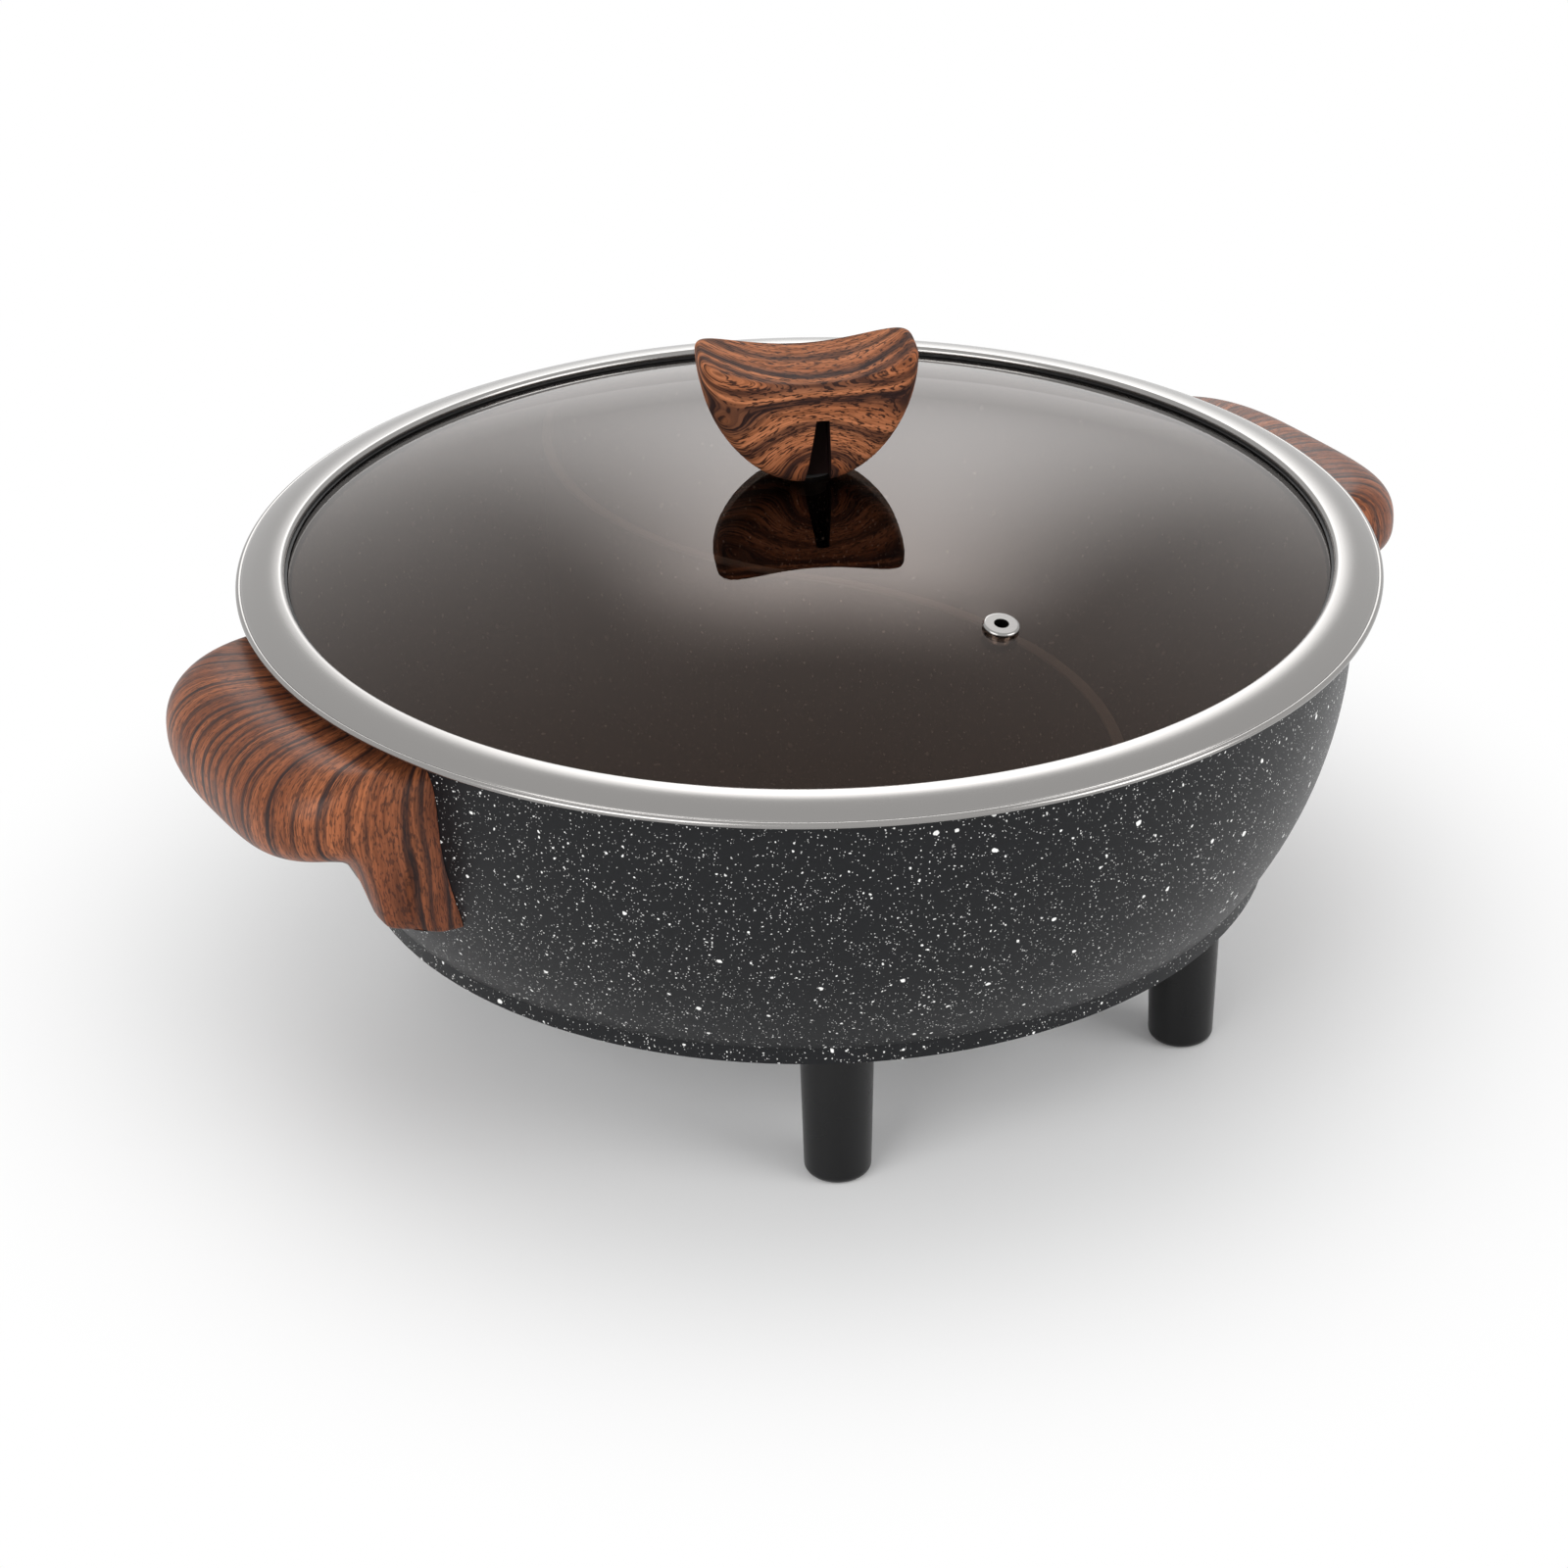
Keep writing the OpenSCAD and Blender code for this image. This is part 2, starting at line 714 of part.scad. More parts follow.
module lid_glass() {
    color("saddlebrown", 0.5)
        difference() {
            rotate_extrude($fn = arc_fn)
                glass_section();
            translate([0, 0, dome_z - 2 * glass_t])
                cylinder(d = knob_hole_d, h = 3 * glass_t);
            at_vent()
                translate([0, 0, -2 * glass_t])
                    cylinder(d = vent_bore + 2 * vent_flange + 2 * fit_gap, h = 3 * glass_t);
        }
}

module lid_rim() {
    color("silver")
        rotate_extrude($fn = arc_fn)
            union() {
                intersection() {
                    translate([crest_r, arch_z])
                        difference() {
                            circle(arch_r, $fn = arc_fn);
                            circle(arch_r - rim_t, $fn = arc_fn);
                        }
                    translate([crest_r, rim_z])
                        square([bead_r - crest_r, rim_crest + cut]);
                }
                intersection() {
                    translate([crest_r, crest_z - rim_roll])
                        difference() {
                            circle(rim_roll);
                            circle(rim_roll - rim_t);
                        }
                    translate([rim_in_r, crest_z - rim_roll])
                        square(rim_roll);
                }
                translate([rim_in_r, seal_top])
                    square([rim_t, crest_z - rim_roll - seal_top]);
                translate([bead_r, rim_z + rim_bead / 2])
                    circle(d = rim_bead);
                translate([skirt_in_r, skirt_low])
                    square([rim_t, crest_z - rim_t - skirt_low]);
                translate([rim_in_r, skirt_low])
                    square([skirt_out_r - rim_in_r, rim_t]);
            }
}

module lid_seal() {
    inner = rim_in_r - seal_show;
    color("black")
        rotate_extrude($fn = arc_fn)
            difference() {
                translate([inner, seal_low])
                    square([skirt_in_r - fit_gap - inner, seal_top - fit_gap - seal_low]);
                glass_section(fit_gap / 2);
            }
}

module vent_grommet() {
    tube_r = vent_bore / 2 + vent_flange;
    color("gainsboro")
        at_vent()
            rotate_extrude($fn = arc_fn)
                difference() {
                    union() {
                        translate([0, fit_gap])
                            square([vent_d / 2 - vent_flange / 2, vent_flange]);
                        translate([vent_d / 2 - vent_flange / 2, fit_gap + vent_flange / 2])
                            circle(d = vent_flange);
                        translate([0, -glass_t - fit_gap])
                            square([tube_r, glass_t + 2 * fit_gap]);
                        translate([0, -glass_t - fit_gap - vent_flange])
                            square([vent_d / 2, vent_flange]);
                    }
                    translate([0, -3 * glass_t])
                        square([vent_bore / 2, 6 * glass_t]);
                }
}

module lid_knob() {
    color("sienna")
        translate([0, 0, knob_z])
            rotate(knob_turn)
                difference() {
                    knob_body();
                    translate([0, 0, -cut])
                        cylinder(d = insert_hole_d, h = insert_len + fit_gap + cut);
                    for (turn = [0, 180])
                        rotate(turn)
                            translate([0, -notch_core / 2, 0])
                                rotate([90, 0, 0])
                                    linear_extrude(knob_d)
                                        translate([notch_side, 0])
                                            polygon([[-notch_w / 2, -cut], [notch_w / 2, -cut],
                                                [notch_lean + notch_top_w / 2, notch_h],
                                                [notch_lean - notch_top_w / 2, notch_h]]);
                }
}

module knob_insert() {
    color("goldenrod")
        translate([0, 0, knob_z])
            difference() {
                cylinder(d = insert_d, h = insert_len);
                translate([0, 0, -cut])
                    cylinder(d = knob_screw_d + fit_gap, h = insert_len);
            }
}

module knob_screw() {
    color("gray") {
        translate([0, 0, washer_z])
            cylinder(d = knob_screw_d, h = knob_z + insert_len - 3 * cut - washer_z);
        translate([0, 0, washer_z - knob_head_h])
            cylinder(d = 2 * knob_screw_d, h = knob_head_h);
    }
}

module flat_ring(z) {
    translate([0, 0, z])
        difference() {
            cylinder(d = washer_d, h = washer_t);
            translate([0, 0, -cut])
                cylinder(d = knob_screw_d + 2 * fit_gap, h = washer_t + 2 * cut);
        }
}

module knob_washer() {
    color("silver")
        flat_ring(washer_z);
}

module knob_gasket() {
    color("black")
        flat_ring(dome_z + fit_gap);
}

pot_bowl();
divider_wall();
bottom_cover();
leg(0);  // leg_front_left
leg(1);  // leg_front_right
leg(2);  // leg_rear_left
leg(3);  // leg_rear_right
leg_screws();
heating_element();
terminal_pin(-1);  // terminal_pin_left
terminal_pin(1);  // terminal_pin_right
probe_tube();
inlet_shroud();
inlet_screws();
handle(180);  // handle_left
handle(0);  // handle_right
handle_bracket(180);  // handle_bracket_left
handle_bracket(0);  // handle_bracket_right
handle_screws();
lid_glass();
lid_rim();
lid_seal();
vent_grommet();
lid_knob();
knob_insert();
knob_screw();
knob_washer();
knob_gasket();
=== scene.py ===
"""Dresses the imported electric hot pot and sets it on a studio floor, seen as in a product photograph."""

import math

import bmesh
import bpy
from mathutils import Matrix, Vector


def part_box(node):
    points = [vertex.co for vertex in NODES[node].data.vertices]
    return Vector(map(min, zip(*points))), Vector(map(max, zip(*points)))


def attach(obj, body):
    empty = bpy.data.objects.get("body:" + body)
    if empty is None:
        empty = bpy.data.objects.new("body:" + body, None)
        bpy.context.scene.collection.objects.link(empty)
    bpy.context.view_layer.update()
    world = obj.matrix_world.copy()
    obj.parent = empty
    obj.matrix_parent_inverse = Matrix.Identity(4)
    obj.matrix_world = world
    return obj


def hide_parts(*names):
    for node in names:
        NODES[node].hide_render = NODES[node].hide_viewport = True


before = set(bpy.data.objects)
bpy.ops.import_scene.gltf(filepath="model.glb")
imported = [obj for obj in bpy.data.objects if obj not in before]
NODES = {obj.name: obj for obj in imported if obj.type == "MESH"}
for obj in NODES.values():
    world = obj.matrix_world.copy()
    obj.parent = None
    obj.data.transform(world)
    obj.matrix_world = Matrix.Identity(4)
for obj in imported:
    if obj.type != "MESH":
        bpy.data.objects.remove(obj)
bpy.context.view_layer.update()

bl_info = {
    "name": "Electric Hot Pot",
    "version": (1, 0, 0),
    "blender": (4, 5, 0),
    "location": "View3D > Sidebar > Hot Pot",
    "description": "Dresses a packed electric hot pot with its wood, coating, glass and steel",
    "category": "Object",
}

MM = 0.001

# Where the solids put the pieces that are made again here
BOWL_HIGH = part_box("pot_bowl")[1]
HANDLE_LOW, HANDLE_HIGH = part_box("handle_right")
GASKET_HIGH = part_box("knob_gasket")[1]
RIM_LOW, RIM_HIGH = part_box("lid_rim")
EAR_SCREW_X = BOWL_HIGH.x + 5.5 * MM
LEGS = ("leg_front_left", "leg_front_right", "leg_rear_left", "leg_rear_right")


def linear(code):
    """Linear red, green and blue of an sRGB hex code."""
    parts = [int(code[i:i + 2], 16) / 255 for i in (1, 3, 5)]
    return [p / 12.92 if p <= 0.04045 else ((p + 0.055) / 1.055) ** 2.4 for p in parts]


def length(name, text, value):
    """A length property in metres."""
    return bpy.props.FloatProperty(
        name=name, description=text, default=value, subtype="DISTANCE", unit="LENGTH", precision=4)


def colour(name, text, code):
    """A colour property from an sRGB hex code."""
    return bpy.props.FloatVectorProperty(
        name=name, description=text, default=linear(code), subtype="COLOR", size=3, min=0, max=1)


class HotPotSizes(bpy.types.PropertyGroup):
    """Sizes of the pieces that are modelled again on the solids."""

    handle_reach: length("Handle reach", "Outer end of a handle from the bowl's axis", HANDLE_HIGH.x)
    handle_length: length("Handle length", "Length of a handle along the wall", HANDLE_HIGH.y - HANDLE_LOW.y)
    ear_thickness: length("Ear thickness", "Thickness of a handle's ear", 29 * MM)
    foot_length: length("Foot length", "Length of a handle's foot along the wall", 13 * MM)
    knob_width: length("Knob width", "Width of the knob", 60.5 * MM)
    knob_depth: length("Knob depth", "Depth of the knob from front to back", 33.5 * MM)
    knob_saddle: length("Saddle height", "Height of the knob at the middle of its saddle", 30.4 * MM)
    knob_tip: length("Tip rise", "Rise of the knob's tips above the middle", 5.8 * MM)
    rim_inner: length("Rim inner radius", "Radius of the rim's inner edge", 146.3 * MM)
    rim_roll: length("Rim roll", "Radius of the rim's inner roll", 1.5 * MM)
    rim_sheet: length("Rim sheet", "Thickness of the rim's sheet", 1 * MM)
    rim_bead: length("Rim bead", "Diameter of the bead along the rim's outer edge", 1.8 * MM)
    handle_stripe: length("Handle stripe", "Distance between the dark stripes of the handles", 4.3 * MM)
    knob_stripe: length("Knob stripe", "Distance between the dark bands of the knob", 5.2 * MM)
    fleck_size: length("Fleck size", "Radius of the coating's largest flecks", 0.95 * MM)


class HotPotColours(bpy.types.PropertyGroup):
    """Colours of the finishes."""

    coating: colour("Coating", "Dark ground of the bowl's coating", "#0F1013")
    fleck: colour("Fleck", "Stone flecks in the bowl's coating", "#EFEFED")
    wood_light: colour("Light wood", "Light bands of the wood", "#A4623F")
    wood_middle: colour("Middle wood", "Brown bands of the wood", "#77422A")
    wood_dark: colour("Dark wood", "Dark stripes of the wood", "#2E1F1D")
    knob_light: colour("Light knob", "Light bands of the knob's wood", "#C9825A")
    knob_middle: colour("Middle knob", "Brown bands of the knob's wood", "#9C5D3C")
    glass: colour("Glass", "Tint of the lid's glass", "#82746B")
    steel: colour("Steel", "Stainless steel of the lid's rim", "#959391")
    plastic: colour("Plastic", "Black plastic of the legs and the inlet", "#0D0D0E")
    floor: colour("Floor", "Studio floor", "#ECECEC")


def add_node(tree, kind, links=None, **settings):
    """Adds a node, sets its properties, and sets or links its inputs, where a node gives its first output."""
    node = tree.nodes.new(kind)
    for name, value in settings.items():
        setattr(node, name, value)
    for socket, value in (links or {}).items():
        if isinstance(value, bpy.types.Node):
            value = next(output for output in value.outputs if output.enabled)
        if isinstance(value, bpy.types.NodeSocket):
            tree.links.new(value, node.inputs[socket])
        else:
            node.inputs[socket].default_value = value
    return node


def start_material(name):
    """A material with an empty tree, its tree, and its output node."""
    material = bpy.data.materials.new(name)
    material.use_nodes = True
    tree = material.node_tree
    tree.nodes.clear()
    return material, tree, add_node(tree, "ShaderNodeOutputMaterial")


def finish_material(tree, output, **inputs):
    """Puts a Principled shader with these inputs on the output."""
    names = {name.replace("_", " ").title().replace("Ior", "IOR"): value for name, value in inputs.items()}
    shader = add_node(tree, "ShaderNodeBsdfPrincipled", names)
    tree.links.new(shader.outputs["BSDF"], output.inputs["Surface"])
    return shader


def rgba(values):
    """A colour property as red, green, blue and alpha."""
    return (values[0], values[1], values[2], 1.0)


def stone_coating(name, colours, sizes, edge=None):
    """Sprayed non-stick coating on cast aluminium: a dark satin ground with flecks of many sizes.

    Above the height edge, where one is given, a light grey band is painted on as a highlight.
    """
    material, tree, output = start_material(name)
    place = add_node(tree, "ShaderNodeTexCoord").outputs["Object"]
    # Sprayed flecks have ragged edges, from a wobble of about half a millimetre
    wobble = add_node(tree, "ShaderNodeTexNoise", {"Vector": place, "Scale": 1 / (1.4 * MM), "Detail": 1.0})
    centred = add_node(tree, "ShaderNodeVectorMath", {0: wobble.outputs["Color"], 1: (0.5, 0.5, 0.5)},
                       operation="SUBTRACT")
    shift = add_node(tree, "ShaderNodeVectorMath", {0: centred, "Scale": 1.1 * MM}, operation="SCALE")
    ragged = add_node(tree, "ShaderNodeVectorMath", {0: place, 1: shift}, operation="ADD")
    # Each layer of flecks: spacing, largest radius, and share of the places that hold a fleck
    big = sizes.fleck_size
    layers = ((0.68 * MM, 0.25 * big, 0.5), (1.7 * MM, 0.46 * big, 0.28), (4.6 * MM, big, 0.25))
    flecks = None
    for spacing, radius, share in layers:
        cells = add_node(tree, "ShaderNodeTexVoronoi", {"Vector": ragged, "Scale": 1 / spacing})
        draw = add_node(tree, "ShaderNodeSeparateColor", {"Color": cells.outputs["Color"]})
        held = add_node(tree, "ShaderNodeMath", {0: draw.outputs["Red"], 1: 1 - share},
                        operation="GREATER_THAN")
        reach = add_node(tree, "ShaderNodeMapRange",
                         {"Value": draw.outputs["Green"], "To Min": 0.35 * radius / spacing,
                          "To Max": radius / spacing})
        inside = add_node(tree, "ShaderNodeMath", {0: reach, 1: cells.outputs["Distance"]},
                          operation="SUBTRACT")
        soft = add_node(tree, "ShaderNodeMapRange", {"Value": inside, "From Max": 0.12 * MM / spacing})
        layer = add_node(tree, "ShaderNodeMath", {0: soft, 1: held}, operation="MULTIPLY")
        if flecks is not None:
            layer = add_node(tree, "ShaderNodeMath", {0: flecks, 1: layer}, operation="MAXIMUM")
        flecks = layer
    # The ground is mottled at about a millimetre
    mottle = add_node(tree, "ShaderNodeTexNoise", {"Vector": place, "Scale": 1 / (0.9 * MM), "Detail": 2.0})
    ground = add_node(tree, "ShaderNodeMix",
                      {"Factor": mottle.outputs["Fac"], "A": rgba([0.55 * c for c in colours.coating]),
                       "B": rgba([1.45 * c for c in colours.coating])}, data_type="RGBA")
    paint = add_node(tree, "ShaderNodeMix",
                     {"Factor": flecks, "A": ground, "B": rgba(colours.fleck)}, data_type="RGBA")
    # Along the divider's top edge a light grey band stands in for light caught by the edge: a painted
    # highlight
    if edge is not None:
        height = add_node(tree, "ShaderNodeSeparateXYZ", {"Vector": place}).outputs["Z"]
        painted_edge_highlight = add_node(tree, "ShaderNodeMapRange",
                        {"Value": height, "From Min": edge - 0.9 * MM, "From Max": edge - 0.4 * MM})
        paint = add_node(tree, "ShaderNodeMix",
                         {"Factor": painted_edge_highlight, "A": paint, "B": rgba(linear("#C4C2BE"))}, data_type="RGBA")
    bump = add_node(tree, "ShaderNodeBump",
                    {"Height": mottle.outputs["Fac"], "Strength": 0.25, "Distance": 0.05 * MM})
    gloss = add_node(tree, "ShaderNodeMapRange",
                     {"Value": mottle.outputs["Fac"], "To Min": 0.3, "To Max": 0.44})
    finish_material(tree, output, base_color=paint, roughness=gloss,
                    ior=1.45, specular_ior_level=0.28, normal=bump)
    return material


def zebra_wood(name, light, middle, dark, spacing, line, pores, rough, sheen):
    """Striped rosewood under a satin lacquer: brown bands, dark stripes, fine fibres and short pores.

    Its grain map holds metres across the stripes and metres along them. Cut faces have none and are darkened,
    which is painted shade inside the knob's notches.
    """
    material, tree, output = start_material(name)
    place = add_node(tree, "ShaderNodeUVMap", uv_map="grain").outputs["UV"]
    axes = add_node(tree, "ShaderNodeSeparateXYZ", {"Vector": place})
    along = axes.outputs["Y"]

    def field(across, width, run, detail):
        """Noise that is this wide across the stripes and this long along them."""
        wide = add_node(tree, "ShaderNodeMath", {0: across, 1: 1 / width}, operation="MULTIPLY")
        deep = add_node(tree, "ShaderNodeMath", {0: along, 1: 1 / run}, operation="MULTIPLY")
        point = add_node(tree, "ShaderNodeCombineXYZ", {"X": wide, "Y": deep, "Z": width / MM})
        return add_node(tree, "ShaderNodeTexNoise",
                        {"Vector": point, "Scale": 1.0, "Detail": detail, "Roughness": 0.5}).outputs["Fac"]

    # The stripes drift by a few millimetres over some centimetres
    drift = field(axes.outputs["X"], 3 * spacing, 45 * MM, 2.0)
    across = add_node(tree, "ShaderNodeMath", {0: drift, 1: 1.1 * spacing, 2: axes.outputs["X"]},
                      operation="MULTIPLY_ADD")
    tone = add_node(tree, "ShaderNodeMapRange",
                    {"Value": field(across, 1.3 * spacing, 70 * MM, 2.0), "From Min": 0.34, "From Max": 0.66})
    wood = add_node(tree, "ShaderNodeMix",
                    {"Factor": tone, "A": rgba(light), "B": rgba(middle)}, data_type="RGBA")
    fibre = field(across, 0.42 * MM, 9 * MM, 2.0)
    shade = add_node(tree, "ShaderNodeMapRange",
                     {"Value": fibre, "From Min": 0.4, "From Max": 0.66, "To Max": 0.72})
    fibred = add_node(tree, "ShaderNodeMix",
                      {"Factor": shade, "A": wood, "B": rgba([0.42 * c for c in middle])}, data_type="RGBA")
    # Each stripe is the late wood of a year: it darkens slowly and ends sharply
    years = add_node(tree, "ShaderNodeMath", {0: across, 1: 1 / spacing}, operation="MULTIPLY")
    cells = add_node(tree, "ShaderNodeTexVoronoi",
                     {"W": years, "Scale": 1.0, "Randomness": 0.8}, voronoi_dimensions="1D")
    signed = add_node(tree, "ShaderNodeMath", {0: years, 1: cells.outputs["W"]}, operation="SUBTRACT")
    sharp = add_node(tree, "ShaderNodeMapRange",
                     {"Value": signed, "From Min": 0.15 * line / spacing,
                      "From Max": 0.55 * line / spacing, "To Min": 1.0, "To Max": 0.0})
    slow = add_node(tree, "ShaderNodeMapRange",
                    {"Value": signed, "From Min": -1.3 * line / spacing,
                     "From Max": -0.25 * line / spacing}, interpolation_type="SMOOTHSTEP")
    late = add_node(tree, "ShaderNodeMath", {0: sharp, 1: slow}, operation="MULTIPLY")
    draw = add_node(tree, "ShaderNodeSeparateColor", {"Color": cells.outputs["Color"]})
    strength = add_node(tree, "ShaderNodeMapRange",
                        {"Value": draw.outputs["Red"], "To Min": 0.5, "To Max": 1.0})
    ragged = add_node(tree, "ShaderNodeMapRange",
                      {"Value": fibre, "From Min": 0.3, "From Max": 0.7, "To Min": 0.78, "To Max": 1.15})
    depth = add_node(tree, "ShaderNodeMath", {0: strength, 1: ragged}, operation="MULTIPLY")
    stripe = add_node(tree, "ShaderNodeMath", {0: late, 1: depth}, operation="MULTIPLY", use_clamp=True)
    striped = add_node(tree, "ShaderNodeMix",
                       {"Factor": stripe, "A": fibred, "B": rgba(dark)}, data_type="RGBA")
    pore = add_node(tree, "ShaderNodeMapRange",
                    {"Value": field(across, 0.36 * MM, 1.9 * MM, 1.0), "From Min": 0.53, "From Max": 0.62,
                     "To Max": pores})
    pored = add_node(tree, "ShaderNodeMix",
                     {"Factor": pore, "A": striped, "B": rgba([0.7 * c for c in dark])}, data_type="RGBA")
    # Faces made by the cutters have no grain map; darkening them is painted shade for the knob's notches
    span = add_node(tree, "ShaderNodeVectorMath", {0: place}, operation="LENGTH")
    cut = add_node(tree, "ShaderNodeMath", {0: span, 1: 0.01 * MM}, operation="LESS_THAN")
    wood_with_painted_notch_shade = add_node(tree, "ShaderNodeMix",
                     {"Factor": cut, "A": pored, "B": rgba([0.6 * c for c in dark])}, data_type="RGBA")
    relief = add_node(tree, "ShaderNodeMath", {0: fibre, 1: pore}, operation="SUBTRACT")
    bump = add_node(tree, "ShaderNodeBump", {"Height": relief, "Strength": 0.3, "Distance": 0.06 * MM})
    gloss = add_node(tree, "ShaderNodeMapRange",
                     {"Value": fibre, "To Min": 0.8 * rough, "To Max": 1.2 * rough})
    finish_material(tree, output, base_color=wood_with_painted_notch_shade, roughness=gloss,
                    ior=1.5, specular_ior_level=sheen, normal=bump)
    return material


def tinted_glass(colours):
    """Tempered soda-lime glass with a brown-grey body tint, polished on both sides."""
    material, tree, output = start_material("tinted_tempered_glass")
    place = add_node(tree, "ShaderNodeTexCoord").outputs["Object"]
    # Tempering leaves waves of a few centimetres that bend reflections a little
    wave = add_node(tree, "ShaderNodeTexNoise", {"Vector": place, "Scale": 1 / (45 * MM), "Detail": 0.0})
    bump = add_node(tree, "ShaderNodeBump",
                    {"Height": wave.outputs["Fac"], "Strength": 0.05, "Distance": 1.0 * MM})
    finish_material(tree, output, base_color=rgba(colours.glass), roughness=0.02, ior=1.52,
                    specular_tint=rgba(linear("#C4A898")), transmission_weight=1.0, normal=bump)
    return material


def turned_steel(name, tint, rough, line):
    """Sheet steel with fine lines round its axis, left by polishing on a lathe."""
    material, tree, output = start_material(name)
    place = add_node(tree, "ShaderNodeTexCoord").outputs["Object"]
    flat = add_node(tree, "ShaderNodeVectorMath", {0: place, 1: (1, 1, 0)}, operation="MULTIPLY")
    radius = add_node(tree, "ShaderNodeVectorMath", {0: flat}, operation="LENGTH")
    axes = add_node(tree, "ShaderNodeSeparateXYZ", {"Vector": place})
    point = add_node(tree, "ShaderNodeCombineXYZ", {"X": radius, "Y": axes.outputs["Z"]})
    lines = add_node(tree, "ShaderNodeTexNoise",
                     {"Vector": point, "Scale": 1 / line, "Detail": 3.0}, noise_dimensions="2D")
    smear = add_node(tree, "ShaderNodeTexNoise", {"Vector": place, "Scale": 1 / (30 * MM), "Detail": 2.0})
    mixed = add_node(tree, "ShaderNodeMath", {0: lines.outputs["Fac"], 1: smear.outputs["Fac"]},
                     operation="ADD")
    gloss = add_node(tree, "ShaderNodeMapRange",
                     {"Value": mixed, "From Max": 2.0, "To Min": 0.75 * rough, "To Max": 1.3 * rough})
    bump = add_node(tree, "ShaderNodeBump",
                    {"Height": lines.outputs["Fac"], "Strength": 0.12, "Distance": 0.03 * MM})
    finish_material(tree, output, base_color=rgba(tint), metallic=1.0, roughness=gloss, normal=bump)
    return material


def moulded(name, tint, rough, grit, sheen=0.5):
    """Moulded or cast stock with an even skin: a fine grit breaks up its gloss."""
    material, tree, output = start_material(name)
    place = add_node(tree, "ShaderNodeTexCoord").outputs["Object"]
    skin = add_node(tree, "ShaderNodeTexNoise", {"Vector": place, "Scale": 1 / grit, "Detail": 3.0})
    patch = add_node(tree, "ShaderNodeTexNoise", {"Vector": place, "Scale": 1 / (18 * MM), "Detail": 2.0})
    shade = add_node(tree, "ShaderNodeMix",
                     {"Factor": patch.outputs["Fac"], "A": rgba([0.8 * c for c in tint]),
                      "B": rgba([1.2 * c for c in tint])}, data_type="RGBA")
    gloss = add_node(tree, "ShaderNodeMapRange",
                     {"Value": patch.outputs["Fac"], "To Min": 0.85 * rough, "To Max": 1.15 * rough})
    bump = add_node(tree, "ShaderNodeBump",
                    {"Height": skin.outputs["Fac"], "Strength": 0.2, "Distance": 0.04 * MM})
    shader = finish_material(tree, output, base_color=shade, specular_ior_level=sheen,
                             roughness=gloss, normal=bump)
    return material, shader


def metal_stock(name, code, rough, grit):
    """Plated or cast metal with an even grit."""
    material, shader = moulded(name, linear(code), rough, grit)
    shader.inputs["Metallic"].default_value = 1.0
    return material


def dress(material, *nodes):
    """Gives CAD nodes a material."""
    for name in nodes:
        NODES[name].data.materials.clear()
        NODES[name].data.materials.append(material)


def ease(start, end, value):
    """A smooth step from 0 to 1 as the value goes from start to end."""
    t = min(1.0, max(0.0, (value - start) / (end - start)))
    return t * t * (3 - 2 * t)


def round_rect(a, b, power, angle):
    """The point of a rounded rectangle of half sizes a and b at a polar angle."""
    c, s = math.cos(angle), math.sin(angle)
    radius = (abs(c / a) ** power + abs(s / b) ** power) ** (-1 / power)
    return radius * c, radius * s


def ring_mesh(name, rings, first, last, grain):
    """A closed skin through rings of points, with a grain map of (across, along) for each column and ring."""
    count = len(rings[0])
    points = [first] + [p for ring in rings for p in ring] + [last]
    end = len(points) - 1
    faces = []
    where = []
    for i in range(count):
        j = (i + 1) % count
        faces.append((0, 1 + i, 1 + j))
        where.append(((0, i), (0, i), (0, i + 1)))
        for k in range(len(rings) - 1):
            a, b = 1 + k * count, 1 + (k + 1) * count
            faces.append((a + i, b + i, b + j, a + j))
            where.append(((k, i), (k + 1, i), (k + 1, i + 1), (k, i + 1)))
        a = 1 + (len(rings) - 1) * count
        faces.append((a + i, end, a + j))
        where.append(((len(rings) - 1, i), (len(rings) - 1, i), (len(rings) - 1, i + 1)))
    mesh = bpy.data.meshes.new(name)
    mesh.from_pydata(points, [], faces)
    uv = mesh.uv_layers.new(name="grain")
    for polygon, corners in zip(mesh.polygons, where):
        for loop, (k, i) in zip(polygon.loop_indices, corners):
            uv.data[loop].uv = grain(k, i)
    return mesh


def make_piece(name, mesh):
    """Links a new object with this mesh."""
    piece = bpy.data.objects.new(name, mesh)
    bpy.context.scene.collection.objects.link(piece)
    return piece


def outward(mesh):
    """Turns a closed mesh's faces outwards."""
    work = bmesh.new()
    work.from_mesh(mesh)
    bmesh.ops.recalc_face_normals(work, faces=work.faces)
    work.to_mesh(mesh)
    work.free()


def lathe(name, profile, turns):
    """A closed solid turned about Z from (radius, height) points that start and end on the axis."""
    points = [(0, 0, profile[0][1])]
    for r, z in profile[1:-1]:
        for k in range(turns):
            a = 2 * math.pi * k / turns
            points.append((r * math.cos(a), r * math.sin(a), z))
    points.append((0, 0, profile[-1][1]))
    last = len(points) - 1
    faces = []
    for k in range(turns):
        n = (k + 1) % turns
        faces.append((0, 1 + n, 1 + k))
        for ring in range(len(profile) - 3):
            a, b = 1 + ring * turns, 1 + (ring + 1) * turns
            faces.append((a + k, a + n, b + n, b + k))
        a = 1 + (len(profile) - 3) * turns
        faces.append((last, a + k, a + n))
    mesh = bpy.data.meshes.new(name)
    mesh.from_pydata(points, [], faces)
    outward(mesh)
    return make_piece(name, mesh)


def prism(name, points):
    """A closed solid between two faces of four points each, listed in the same order."""
    mesh = bpy.data.meshes.new(name)
    sides = [(0, 4, 5, 1), (1, 5, 6, 2), (2, 6, 7, 3), (3, 7, 4, 0)]
    mesh.from_pydata(points, [], [(0, 1, 2, 3), (7, 6, 5, 4)] + sides)
    outward(mesh)
    return make_piece(name, mesh)


